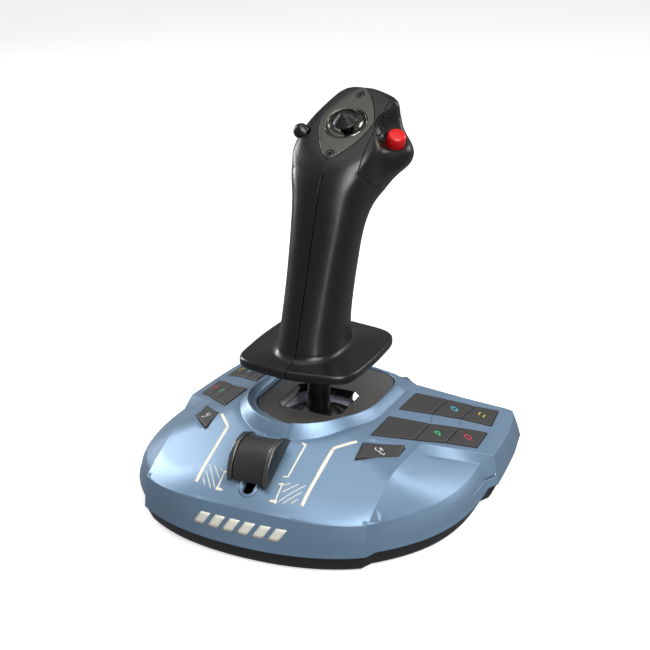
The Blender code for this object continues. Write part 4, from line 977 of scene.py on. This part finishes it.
def ribbon(name, line, width, finish, body="base", lift=0.07, height=top_z, taper=None):
    """A printed line of even width laid on the top surface."""
    length = sum(math.dist(a, b) for a, b in zip(line, line[1:]))
    centre = even([(*p, 0) for p in line], max(2, int(length / 0.9)))
    rows = []
    for i, p in enumerate(centre):
        a = Vector(centre[max(i - 1, 0)][:2])
        b = Vector(centre[min(i + 1, len(centre) - 1)][:2])
        along = (b - a).normalized()
        side = Vector((-along.y, along.x))
        half = width / 2 if taper is None else (width + (taper - width) * i / (len(centre) - 1)) / 2
        row = [(p[0] + side.x * half * k, p[1] + side.y * half * k) for k in (-1, -0.33, 0.33, 1)]
        rows.append([(x, y, height(x, y) + lift) for x, y in row])
    bm = sheet(rows)
    for face in bm.faces:
        face.normal_update()
        if face.normal.z < 0:
            face.normal_flip()
    printed(name, bm, finish, body, 0.2)


def build_print():
    """Cream lines on the deck, the same on both sides, thin mould lines and the front bars."""
    for side, sign in (("left", -1), ("right", 1)):

        def line(kind, tag, points, width, finish=INK, **options):
            flipped = [(sign * x, y) for x, y in points]
            ribbon(f"{kind}_{side}_{tag}", flipped, width, finish, **options)

        for name, width, taper, *points in DECK_PRINT:
            line("print", name, points, width, taper=taper)
        for k, points in enumerate(HATCH):
            line("print", f"hatch_{k + 1}", points, 0.55)
        for k, points in enumerate(MOULD_LINES):
            line("mould", k + 1, points, 0.35, SEAM, lift=0.03)
    for k in range(6):
        rows = []
        for t in (0.66, 0.57, 0.48, 0.39, 0.30):
            row = []
            for dx in (-3.2, -1.1, 1.1, 3.2):
                x = -24.0 + 9.6 * k + dx + (0.48 - t) * BAR_LEAN
                away, *rest = wall_point(*front_pair(abs(x) / CREASE[0]), 0.5, t, 0.12)
                row.append((math.copysign(away, x), *rest))
            rows.append(row)
        printed(f"front_bar_{k + 1}", sheet(rows), INK, "base", 0.3)


def build_cover():
    """Dark tray under the shell, its feet and the cable gland."""
    skirt = [row[1] for row in half_edge()]
    lip = inset(mirrored(skirt), 1.3)
    levels = ((COVER_Z, 0.950), (COVER_Z + 0.3, 0.958), (COVER_Z + 1.2, 0.966),
              (COVER_Z + 3.2, 0.975), (SKIRT_Z - 2.2, 0.996), (SKIRT_Z - GAP, 1.0))
    loops = [[(x * scale, y * scale, z) for x, y in lip] for z, scale in levels]
    piece("tray", loft(loops), COVER, "base", ("bottom_cover",), sharp=40)
    for k, (x, y) in enumerate(FEET):
        shape = [(0, 0), (7.2, 0), (7.7, 0.2), (8, 0.5), (8, COVER_Z - 0.1), (0, COVER_Z - 0.1)]
        piece(f"pad_{k + 1}", spin(shape, Matrix.Translation((x, y, 0))), RUBBER, "base",
              (f"foot_{k + 1}",))
    gland = [(0, -6), (3.9, -6), (3.9, 4.0), (6.0, 4.0), (6.2, 4.2), (6.2, 6.0)]
    for k in range(4):
        z = 6.4 + 1.5 * k
        gland += [(5.2 - 0.35 * k, z), (5.2 - 0.35 * k, z + 0.8), (4.2 - 0.3 * k, z + 1.0),
                  (4.2 - 0.3 * k, z + 1.3)]
    gland += [(3.4, 13.0), (2.6, 13.0), (2.4, 12.6), (0, 12.6)]
    piece("gland_sleeve", spin(gland, aim(GLAND, (0, 1, 0))), RUBBER, "base", ("cable_gland",))


def shrink_shared(quad, left, right):
    """Pull in the sides that a key shares with its neighbours."""
    a, b, c, d = (Vector(p) for p in quad)

    def drawn(p, toward, distance):
        return tuple(p + (toward - p).normalized() * distance)

    return [drawn(a, b, left), drawn(b, a, right), drawn(c, d, right), drawn(d, c, left)]


def key_plane(quad):
    """The flat that best fits the wing under a key, as a height function."""
    rows = np.array([(x, y, 1.0) for x, y in quad])
    heights = np.array([body_z(x, y) for x, y in quad])
    slope_x, slope_y, level = np.linalg.lstsq(rows, heights, rcond=None)[0]
    return lambda x, y: slope_x * abs(x) + slope_y * y + level


def key_quads():
    """Plan corners of each key on the right wing, with its place and its sign."""
    half = KEY_GAP * 0.6
    for row, front, back in (("front", ROW_FRONT, ROW_FRONT_BACK),
                             ("rear", ROW_REAR, ROW_REAR_BACK)):
        for k, place in enumerate(("inner", "middle", "outer")):
            quad = [front[k], front[k + 1], back[k + 1], back[k]]
            quad = shrink_shared(quad, half if k else 0.0, half if k < 2 else 0.0)
            yield f"{row}_{place}", quad, SIGN_OF.get((row, place))
    yield "share", SHARE_KEY, ("tray", "white")


def build_keys():
    """Seven keys on each wing with rounded tops and small printed signs."""
    for side, sign in (("left", -1), ("right", 1)):
        for place, quad, mark in key_quads():
            name = f"key_{side}_{place}"
            plane = key_plane(quad)
            loops = []
            for sunk, lower in ((0.0, KEY_DEPTH + KEY_PROUD), *KEY_EDGE, (KEY_ROUND + 0.5, 0.0)):
                outline = corner_cut(inset(quad, sunk), 0.7, 3)
                loops.append([(sign * x, y, KEY_PROUD - lower + plane(x, y)) for x, y in outline])
            piece(f"cap_{name}", loft(loops), KEYS, name, (name,))
            if not mark:
                continue
            kind, colour = mark
            cx, cy = (sum(p[k] for p in quad) / 4 for k in (0, 1))
            for tag, width, *points in SIGNS[kind]:
                line = [(sign * (cx + dx), cy + dy) for dx, dy in points]
                ribbon(f"sign_{name}_{tag}", line, width, MARKS[colour], name, KEY_PROUD + 0.05,
                       plane)


def octagon(half_x, half_y, cut):
    """Eight-sided outline centred on the pivot."""
    corners = [(half_x, -half_y + cut), (half_x, half_y - cut), (half_x - cut, half_y),
               (-half_x + cut, half_y), (-half_x, half_y - cut), (-half_x, -half_y + cut),
               (-half_x + cut, -half_y), (half_x - cut, -half_y)]
    return [(x, y + PIVOT_Y) for x, y in corners]


def build_gimbal():
    """Gate plate with its polished chamfer, tinted bowl brightened by painted light, dust dome and
    shaft.
    """
    x, y = APERTURE
    outline = mirrored(opening_half(PLATE_R, PLATE_HALF, PLATE_REAR))
    plate = piece("gate_plate", loft(pillow(outline, PLATE_TOP - 4, PLATE_TOP, 0.5)), PLATE)
    hole = octagon(x + 0.2, y + 0.2, APERTURE_CUT)
    carve(plate, tool(loft([[(*p, z) for p in hole] for z in (PLATE_TOP - 5, PLATE_TOP + 1)])))
    smooth(plate.data, 35)
    settle(plate, "base", ("gimbal_plate",))
    chamfer = ((-4.0, 0.1), (0.05, 0.1), (0.05, -0.15), (-0.5, -0.6), (-3.6, -2.6), (-4.0, -2.6))
    rows = [[(*p, PLATE_TOP + level)
             for p in octagon(x + grow, y + grow, APERTURE_CUT + grow * 0.4)]
            for level, grow in chamfer]
    piece("gate_trim", sheet(rows, ring=True, tube=True), GLOSS, "base", sharp=20)
    centre = Matrix.Translation((0, PIVOT_Y, 0))
    bowl = [(22.0, 45), (24.6, 48.8), (27.0, 52.0), (29.0, 52.0), (29.0, 50.5), (23.5, 43.6)]
    # The bowl's colour is brightened beyond its own lavender as painted light for the shade it sits
    # in.
    piece("tinted_bowl_painted_light", spin(bowl, centre), BOWL_PAINTED_LIGHT, "base", ("gimbal_bowl",))
    dome = []
    for radius, first, last in ((DOME_R, 22, 56), (DOME_R - 1.5, 56, 25)):
        for i in range(15):
            a = math.radians(first + (last - first) * i / 14)
            dome.append((radius * math.sin(a), radius * math.cos(a)))
    pivot = Matrix.Translation((0, PIVOT_Y, PIVOT_Z))
    piece("dome_skin", spin(dome, pivot), BLACK, "shaft", ("dust_dome",))
    shaft = [(0, -3), (SHAFT_R, -3), (SHAFT_R, 74.4), (SHAFT_R - 0.6, 75), (0, 75)]
    made = piece("shaft_skin", spin(shaft, pivot), BLACK)
    carve(made, bar((-14.5, PIVOT_Y, PIVOT_Z), (14.5, PIVOT_Y, PIVOT_Z), 2.3), "UNION")
    settle(made, "shaft", ("stick_shaft",))


def arc_section(radius, steps=60):
    """Half-disc outline above a chord that rises to the rear, in the (along, up) plane."""
    start = math.asin(KNOB_REAR / radius)
    sweep = math.pi - math.asin(KNOB_CHORD / radius) - start
    turn = [start + sweep * i / steps for i in range(steps + 1)]
    return [(radius * math.cos(a), radius * math.sin(a)) for a in turn]


def build_throttle():
    """Half-round thumb knob with two brushed rails, and the ring of its slot."""
    place = tilt_about_x(SLOPE, KNOB_Y, KNOB_Z)
    inner = KNOB_HALF - RAIL_W
    columns = 15
    loops = []
    for i in range(columns + 1):
        x = -inner + 2 * inner * i / columns
        dish = 0.7 * (1 - (x / inner) ** 2)
        loops.append([(x, y, z) for y, z in arc_section(KNOB_R - dish)])
    piece("thumb_saddle", moved(loft(loops), place), SADDLE, "throttle", ("throttle_knob",),
          sharp=40)
    for side, sign in (("left", -1), ("right", 1)):
        a, b = sign * (inner + GAP), sign * (KNOB_HALF + 0.4)
        rail = slab(arc_section(RAIL_R), min(a, b), max(a, b), 0.45, place)
        made = piece(f"rail_{side}", rail, RAIL)
        made.data.materials.append(BLACK)
        for face in made.data.polygons:
            if abs(face.normal.x) > 0.8:
                face.material_index = 1
        settle(made, "throttle", (f"throttle_cheek_{side}",))

    def ring_at(half):
        points = []
        for first, y0 in ((math.pi, SLOT_FRONT_Y), (0, SLOT_REAR_Y)):
            for i in range(21):
                t = first + math.pi * i / 20
                points.append((half * math.cos(t), y0 + half * math.cos(SLOPE) * math.sin(t)))
        return points

    section = ((COLLAR_HALF, 4.0), (COLLAR_HALF, -0.1), (COLLAR_HALF - 0.3, -0.35),
               (COLLAR_HALF - 0.8, -0.4), (SLOT_HALF + 0.8, 0.3), (SLOT_HALF, 0.8),
               (SLOT_HALF, 4.0))
    rows = [[(x, y, body_z(x, y) - drop) for x, y in ring_at(half)] for half, drop in section]
    piece("slot_ring", sheet(rows, ring=True, tube=True), PAINT, "base", ("slot_collar",))


# ---- grip -------------------------------------------------------------------------------------
def handle_half(half, steps=40):
    """Half section of the handle: (share of the depth, width) pairs from front to rear."""
    points = []
    for i in range(steps + 1):
        a = math.pi * i / steps
        v = 0.5 - 0.5 * math.copysign(abs(math.cos(a)) ** (2 / HANDLE_POWER), math.cos(a))
        points.append((v, half * math.sin(a) ** (2 / HANDLE_POWER) if 0 < i < steps else 0.0))
    return points


def resample(table, depth, count):
    """Walk a half section in equal steps; returns count + 1 (share, width) pairs."""
    return [(x / depth, y) for x, y in even([(v * depth, x) for v, x in table], count)]


def swollen(centre, point):
    """Push a ring point outwards until it clears the swelling, with a soft change-over."""
    away = Vector(point) - Vector(centre)
    base = away.length
    away.normalize()

    def depth(t):
        q = Vector(centre) + away * t - Vector(BULGE)
        near = Vector((q[i] / BULGE_SIZE[i] for i in range(3)))
        slope = Vector((q[i] / BULGE_SIZE[i] ** 2 for i in range(3))).length
        ball = near.length * (near.length - 1) / max(slope, 1e-6)
        hollow = SCOOP_R - (Vector(centre) + away * t - scoop).length
        return -soft_min(-soft_min(t - base, ball, BULGE_BLEND), -hollow, SCOOP_BLEND)

    scoop = Vector(RED_BUTTON) + Vector(RED_AXIS).normalized() * (SCOOP_R + SCOOP_LOW)
    low, high = (base + reach for reach in BULGE_REACH)
    if depth(low) >= 0:
        return point
    reach = last_inside(low, high, lambda t: depth(t) < 0, 18)
    return tuple(Vector(centre) + away * reach)


def grip_ring(spec, count):
    """One closed section of the grip: front, right side, rear, left side."""
    f, r = Vector(spec[0:2]), Vector(spec[2:4])
    half, head, crown = spec[4:7]
    depth = (r - f).length
    centre = (0.0, *(f.lerp(r, 0.5)))
    sides = []
    for sign, table in ((1, HEAD_RIGHT), (-1, HEAD_LEFT)):
        plain = resample(handle_half(half), depth, count // 2)
        broad = resample([(v, x * half / HEAD_WIDE) for v, x in table], depth, count // 2)
        narrow = resample(CROWN, depth, count // 2)
        side = []
        share = head if sign > 0 else math.sqrt(head)
        for a, b, c in zip(plain, broad, narrow):
            v, x = blend(blend(a, b, share), c, crown)
            y, z = f.lerp(r, v)
            point = (sign * x, y, z)
            near = sign > 0 and x > 1 and z > BULGE_FROM_Z
            side.append(swollen(centre, point) if near else point)
        sides.append(side)
    right, left = sides
    return eased(right + left[-2:0:-1], 3)


def grip_frame():
    """Frame on the hat plate: Y runs up the plate from its low tip, Z stands out of it."""
    return tilt_about_x(HAT_TILT, HAT_LOW[0], HAT_LOW[1])


def grip_specs():
    """Section settings from the foot to the seat of the hat plate, eased from one to the next."""
    specs = [(*row, 0.0) for row in GRIP_RINGS]
    frame_up = grip_frame()
    for turn in (0, 20, 42, 62, 78, 90):
        a = math.radians(turn)
        drop = SHOULDER_DROP * (1 - math.sin(a) ** SHOULDER_FULL)
        crown = 1 - max(math.cos(a), 0.0) ** SHOULDER_FULL
        front = frame_up @ Vector((0, -0.8 - 3.2 * drop + 0.13 * drop * drop, -drop))
        rear = frame_up @ Vector((0, 64.2 - 0.35 * drop, -drop))
        specs.append((front.y, front.z, rear.y, rear.z, HEAD_WIDE, 1.0, crown))
    fine = []
    for a, b in zip(specs, specs[1:]):
        fine += [blend(a, b, i / GRIP_STEPS) for i in range(GRIP_STEPS)]
    fine = np.array(fine + [specs[-1]])
    neck_end = 13 * GRIP_STEPS
    for passes, last in ((6 * GRIP_STEPS, neck_end), (2 * GRIP_STEPS, len(fine))):
        for _ in range(passes):
            part = fine[:last]
            part[1:-1] = 0.5 * part[1:-1] + 0.25 * (part[:-2] + part[2:])
    return [tuple(row) for row in fine]


def soften_neck(rings):
    """Ease the front of the grip where the neck widens into the head."""
    form = np.array(rings)
    y, z = form[:, :, 1], form[:, :, 2]
    share = np.ones_like(y)
    for distance, run in ((50 - y, 16), (z - 150, 14), (208 - z, 7)):
        share *= np.clip(distance / run, 0, 1)
    for column in range(form.shape[1]):
        line = form[:, column].copy()
        run = np.concatenate([[0], np.cumsum(np.linalg.norm(np.diff(line, axis=0), axis=1))])
        near = np.exp(-0.5 * ((run[:, None] - run) / NECK_EASE) ** 2) * np.gradient(run)
        eased = near @ line / near.sum(axis=1, keepdims=True)
        form[:, column] += share[:, column, None] * (eased - line)
    return [[tuple(p) for p in ring] for ring in form]


def palm_outline(count):
    """Palm rest in plan with round corners, from the front round the right side."""
    half = [(0.0, -38.9), (24.0, -35.2), (31.0, -33.4), (36.0, -29.8), (38.4, -23.0),
            (39.6, 6.0), (38.6, 33.0), (37.2, 40.4), (33.2, 45.6), (26.0, 48.8), (0.0, 53.4)]
    right = even(half, count // 2)
    return eased(right + [(-x, y) for x, y in right[-2:0:-1]], 4)


def palm_loops(foot, count):
    """Loops from the bore, across the underside, round the edge and up the fillet to the foot."""
    outline = palm_outline(count)
    bottom = PALM_TOP - PALM_T
    bore = []
    for i in range(count):
        a = 2 * math.pi * i / count - math.pi / 2
        bore.append((BORE_R * math.cos(a), PIVOT_Y + BORE_R * math.sin(a)))
    loops = [[(x, y, BORE_TOP) for x, y in bore], [(x, y, bottom) for x, y in bore]]
    low_edge = inset(outline, PALM_LOW_ROUND)
    loops.append([(*blend(a, b, 0.5), bottom) for a, b in zip(bore, low_edge)])
    for up, side in quarter(4):
        ring = inset(outline, PALM_LOW_ROUND * side)
        loops.append([(x, y, bottom + PALM_LOW_ROUND * up) for x, y in ring])
    for side, below in quarter(5):
        ring = inset(outline, PALM_TOP_ROUND * side)
        loops.append([(x, y, PALM_TOP - PALM_TOP_ROUND * below) for x, y in ring])
    top_edge = inset(outline, PALM_TOP_ROUND)
    for share in (0.12, 0.25, 0.4, 0.55, 0.7, 0.82):
        ring = []
        for a, b in zip(top_edge, foot):
            reach = math.dist(a, b[:2])
            across = share / 0.82 * (max(reach - PALM_FILLET, 0.0) / reach)
            ring.append((*blend(a, b[:2], across), PALM_TOP + PALM_CROWN * across ** 1.5))
        loops.append(ring)
    for k in range(1, 7):
        a = math.pi / 2 * k / 7
        ring = []
        for p, b in zip(top_edge, foot):
            away = PALM_FILLET * (1 - math.sin(a)) / math.dist(p, b[:2])
            level = PALM_TOP + PALM_CROWN * (1 - away) ** 1.5
            ring.append((*blend(b[:2], p, away), level + (b[2] - level) * (1 - math.cos(a))))
        loops.append(ring)
    return loops


def hat_outline(grow):
    """Kite-shaped outline of the hat plate with rounded flanks."""
    length = math.hypot(HAT_HIGH[0] - HAT_LOW[0], HAT_HIGH[1] - HAT_LOW[1])
    half = [(0.0, 0.8), (2.2, 1.6), (5.9, 6.0), (12.4, 17.1), (16.2, 28.0), (HAT_ACROSS, 34.0),
            (15.6, 40.0), (12.0, 48.7), (7.6, 56.1), (3.4, 61.8), (1.6, length - 0.6),
            (0.0, length - 0.2)]
    return inset(rounded(mirrored(half)), -grow)


def module_cutter(sign, grow):
    """Side block whose edge is the seam between a thumb module and the grip."""
    edge = [(22.0 - grow, 200.0), (24.5 - grow, 197.2 - grow), (30.0, 194.0 - grow),
            (40.0, 188.6 - grow), (52.0, 181.6 - grow), (80.0, 167.0 - grow),
            (130.0, 160.0 - grow), (130.0, 204.0 + grow), (92.0, 213.0 + grow),
            (80.0, 222.5 + grow), (69.5 + grow, 232.5), (63.5 + grow, 240.0), (60.0 + grow, 260.0),
            (18.5 - grow, 260.0), (19.0 - grow, 206.0)]
    return tool(loft([[(sign * x, y, z) for y, z in edge] for x in (MODULE_X - grow, 60.0)]))


def finish_cut(made, name, body, nodes):
    """Give a cut body its smooth shading, name and place in the table."""
    made.name = name
    made.data.materials.clear()
    made.data.materials.append(BLACK)
    for face in made.data.polygons:
        face.material_index = 0
    smooth(made.data, 38)
    settle(made, body, nodes)


def build_grip():
    """Two shells with a palm plate and two thumb modules, cut from one smooth form."""
    up = grip_frame()
    rings = soften_neck([grip_ring(spec, GRIP_COUNT) for spec in grip_specs()])
    whole = piece("grip", loft(palm_loops(rings[0], GRIP_COUNT) + rings), BLACK)
    head = twin_of(whole, "head")
    seat = [[(x, y, z) for x, y in hat_outline(0.35)] for z in (-1.4, 3)]
    carve(whole, tool(moved(loft(seat), up)))
    well = [(0, -11), (9.5, -11), (9.5, -7.4), (13.6, -7.4), (13.6, 3), (0, 3)]
    carve(whole, tool(spin(well, up @ Matrix.Translation((0, HAT_CENTRE, 0)))))
    y, z = TRIGGER_PIVOT
    side = TRIGGER_HALF + 0.8
    carve(whole, block((-side, y - 9.5, z - 40), (side, y + 9, z + 5.5)))
    carve(whole, bar((-side - 3.5, y, z), (side + 3.5, y, z), 1.7))
    for side, sign in (("left", -1), ("right", 1)):
        shell = twin_of(whole, f"half_{side}")
        low = (HALF_SEAM, -60, 60) if sign > 0 else (-80, -60, 60)
        high = (80, 130, 260) if sign > 0 else (-HALF_SEAM, 130, 260)
        carve(shell, block(low, high), "INTERSECT")
        carve(shell, module_cutter(sign, MODULE_SEAM))
        finish_cut(shell, f"handle_{side}", "grip", (f"grip_{side}",))
    bpy.data.objects.remove(whole, do_unlink=True)
    bores = (("left", -1, BALL_BUTTON, BALL_AXIS, 5.2, 6.4),
             ("right", 1, RED_BUTTON, RED_AXIS, 6.4, 8.0))
    for side, sign, point, axis, radius, deep in bores:
        module = twin_of(head, f"cheek_{side}")
        carve(module, module_cutter(sign, 0.0), "INTERSECT")
        point, direction = Vector(point), Vector(axis).normalized()
        carve(module, bar(point - direction * deep, point + direction * 12, radius, 48))
        if sign > 0:
            carve(module, bar(point, point + direction * 14, SOCKET_R, 56))
        finish_cut(module, f"thumb_panel_{side}", "grip", (f"module_{side}",))
    bpy.data.objects.remove(head, do_unlink=True)


def build_hat():
    """Hat plate with its two screws, the polished dish and the stepped hat."""
    up = grip_frame()
    seat = up @ Matrix.Translation((0, HAT_CENTRE, 0))
    plate = piece("hat_bezel", moved(loft(pillow(hat_outline(0.0), -1.1, 0.5, 0.35)), up), OLIVE)
    hole = [(0, -4), (13.4, -4), (13.4, 0.1), (13.9, 0.6), (13.9, 3), (0, 3)]
    carve(plate, tool(spin(hole, seat)))
    for y in HAT_SCREWS:
        sink = [(0, -4), (2.0, -4), (2.0, -0.7), (3.1, -0.1), (3.3, 2), (0, 2)]
        carve(plate, tool(spin(sink, up @ Matrix.Translation((0, y, 0)), 40)))
    smooth(plate.data, 35)
    settle(plate, "grip", ("hat_plate",))
    for name, y in zip(("low", "high"), HAT_SCREWS):
        shape = [(0, -1.0), (1.4, -1.0), (1.4, -0.8), (2.5, -0.2), (2.9, 0.05), (2.8, 0.3),
                 (2.3, 0.55), (0, 0.62)]
        place = up @ Matrix.Translation((0, y, 0))
        head = piece(f"screw_{name}", spin(shape, place, 40), SCREW)
        star = []
        for i in range(36):
            a = 2 * math.pi * i / 36
            r = 1.25 + 0.25 * math.cos(6 * a)
            star.append((r * math.cos(a), r * math.sin(a)))
        carve(head, tool(moved(loft([[(*p, z) for p in star] for z in (-0.4, 2)]), place)))
        settle(head, "grip", (f"hat_screw_{name}",))

    bowl = [(4.3, -7.0), (9.2, -6.9), (12.9, -4.0), (13.3, 0.3), (13.0, 0.6), (12.5, 0.5)]
    for i in range(1, 15):
        a = math.pi / 2 * i / 14
        bowl.append((4.3 + 8.0 * math.cos(a) ** 1.3, 0.2 - 5.6 * math.sin(a) ** 1.2))
    piece("hat_dish", spin(bowl, seat, 96), DISH, "grip", ("hat_bowl",), sharp=50)
    cap = [(0, HAT_PIVOT - 1.2), (2.6, HAT_PIVOT - 1.2), (2.6, -3.2), (4.4, -2.2), (5.2, -0.4),
           (6.1, 0.6), (7.0, 1.0), (7.5, 1.6), (7.45, 2.2)]
    for i in range(5):
        r, z = 7.0 - 0.88 * i, 2.5 + 1.0 * i
        cap += [(r + 0.1, z), (r, z + 0.28), (r - 0.55, z + 0.42), (r - 0.6, z + 0.62)]
    cap += [(2.5, 7.3), (1.8, 7.7), (0.9, 7.86), (0, 7.9)]
    piece("hat_knob", spin(cap, seat, 72), BLACK, "hat", ("hat_cap",), sharp=40)


def build_triggers():
    """Trigger, red thumb button and the left ball button."""
    y, z = TRIGGER_PIVOT
    outline = [(y + 3.6, z + 1.5), (y + 1.0, z + 3.8), (y - 2.5, z + 2.8), (y - 4.0, z),
               (y - 4.6, z - 11), (y - 6.6, z - 22), (y - 7.8, z - 32), (y - 7.2, z - 36),
               (y - 5.0, z - 37.4), (y - 3.2, z - 35), (y - 0.6, z - 24), (y + 2.4, z - 12)]
    bm = slab(rounded(outline), -TRIGGER_HALF, TRIGGER_HALF, 0.8, Matrix.Identity(4))
    made = piece("trigger_blade", bm, BLACK)
    carve(made, bar((-9, y, z), (9, y, z), 1.7))
    smooth(made.data, 38)
    settle(made, "trigger", ("trigger",))
    red = [(0, -6.4), (6.15, -6.4), (6.15, 1.0), (5.85, 5.0), (5.7, 5.7), (5.4, 6.3), (4.9, 6.7),
           (4.0, 7.0), (2.2, 7.25), (0, 7.3)]
    piece("red_cap", spin(red, aim(RED_BUTTON, RED_AXIS)), RED, "red_button", ("red_button",),
          sharp=60)
    ball = [(0, -3.4), (4.4, -3.4), (4.7, -2.0)]
    for i in range(13):
        a = math.radians(-8 + 98 * i / 12)
        ball.append((4.85 * math.cos(a) if i < 12 else 0, 4.85 * math.sin(a)))
    piece("ball_cap", spin(ball, aim(BALL_BUTTON, BALL_AXIS)), BLACK, "left_button",
          ("left_button",), sharp=60)


def dress_hidden_parts():
    """Give each part kept from the frame its own finish."""
    looks = {"ballast_plate": STEEL, "gimbal_housing": WHITE, "gimbal_yoke": BLACK,
             "throttle_carriage": BLACK}
    looks.update({name: BOARD for name in ("main_board", "button_board_left",
                                           "button_board_right", "grip_board")})
    looks.update({name: STEEL for name in ("roll_spring", "pitch_spring", "throttle_guide_rod",
                                           "trigger_pin", "hat_pivot_ring")})
    looks.update({f"cover_screw_{k + 1}": SCREW for k in range(4)})
    for name, finish in looks.items():
        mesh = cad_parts[name].data
        mesh.materials.clear()
        mesh.materials.append(finish)


def build_studio():
    """Pale floor, soft lamps and the camera."""
    floor = bpy.data.materials.new("pale_floor")
    floor.use_nodes = True
    shader = floor.node_tree.nodes["Principled BSDF"]
    shader.inputs["Base Color"].default_value = (0.72, 0.72, 0.72, 1)
    shader.inputs["Roughness"].default_value = 0.8
    shader.inputs["Emission Color"].default_value = (1, 1, 1, 1)
    shader.inputs["Emission Strength"].default_value = 0.62
    mesh = bpy.data.meshes.new("floor")
    corners = ((-1, -1), (1, -1), (1, 1), (-1, 1))
    mesh.from_pydata([(FLOOR * x, FLOOR * y, 0) for x, y in corners], [], [(0, 1, 2, 3)])
    mesh.materials.append(floor)
    ground = bpy.data.objects.new("floor", mesh)
    bpy.context.scene.collection.objects.link(ground)
    ground.visible_glossy = False
    ground.visible_diffuse = False

    world = bpy.data.worlds.new("studio")
    world.use_nodes = True
    sky = world.node_tree.nodes["Background"]
    sky.inputs["Color"].default_value = (0.93, 0.95, 1.0, 1)
    sky.inputs["Strength"].default_value = 0.25
    bpy.context.scene.world = world
    bpy.context.scene.view_settings.view_transform = "Standard"

    for name, spot, wide, tall, power in LAMPS:
        lamp = bpy.data.lights.new(name, "AREA")
        lamp.shape = "RECTANGLE"
        lamp.size = wide
        lamp.size_y = tall
        lamp.energy = power
        holder = bpy.data.objects.new(name, lamp)
        holder.location = spot
        holder.rotation_mode = "QUATERNION"
        holder.rotation_quaternion = (LAMP_TARGET - Vector(spot)).to_track_quat("-Z", "Y")
        bpy.context.scene.collection.objects.link(holder)

    lens = bpy.data.cameras.new("camera")
    lens.lens = CAMERA_LENS
    lens.sensor_width = 36
    lens.clip_start = 0.01
    camera = bpy.data.objects.new("camera", lens)
    camera.location = CAMERA_AT
    camera.rotation_euler = (math.radians(90 - CAMERA_DOWN), 0, math.radians(CAMERA_TURN))
    bpy.context.scene.collection.objects.link(camera)
    bpy.context.scene.camera = camera


build_base_shell()
build_print()
build_cover()
build_keys()
build_gimbal()
build_throttle()
build_grip()
build_hat()
build_triggers()
dress_hidden_parts()
build_studio()
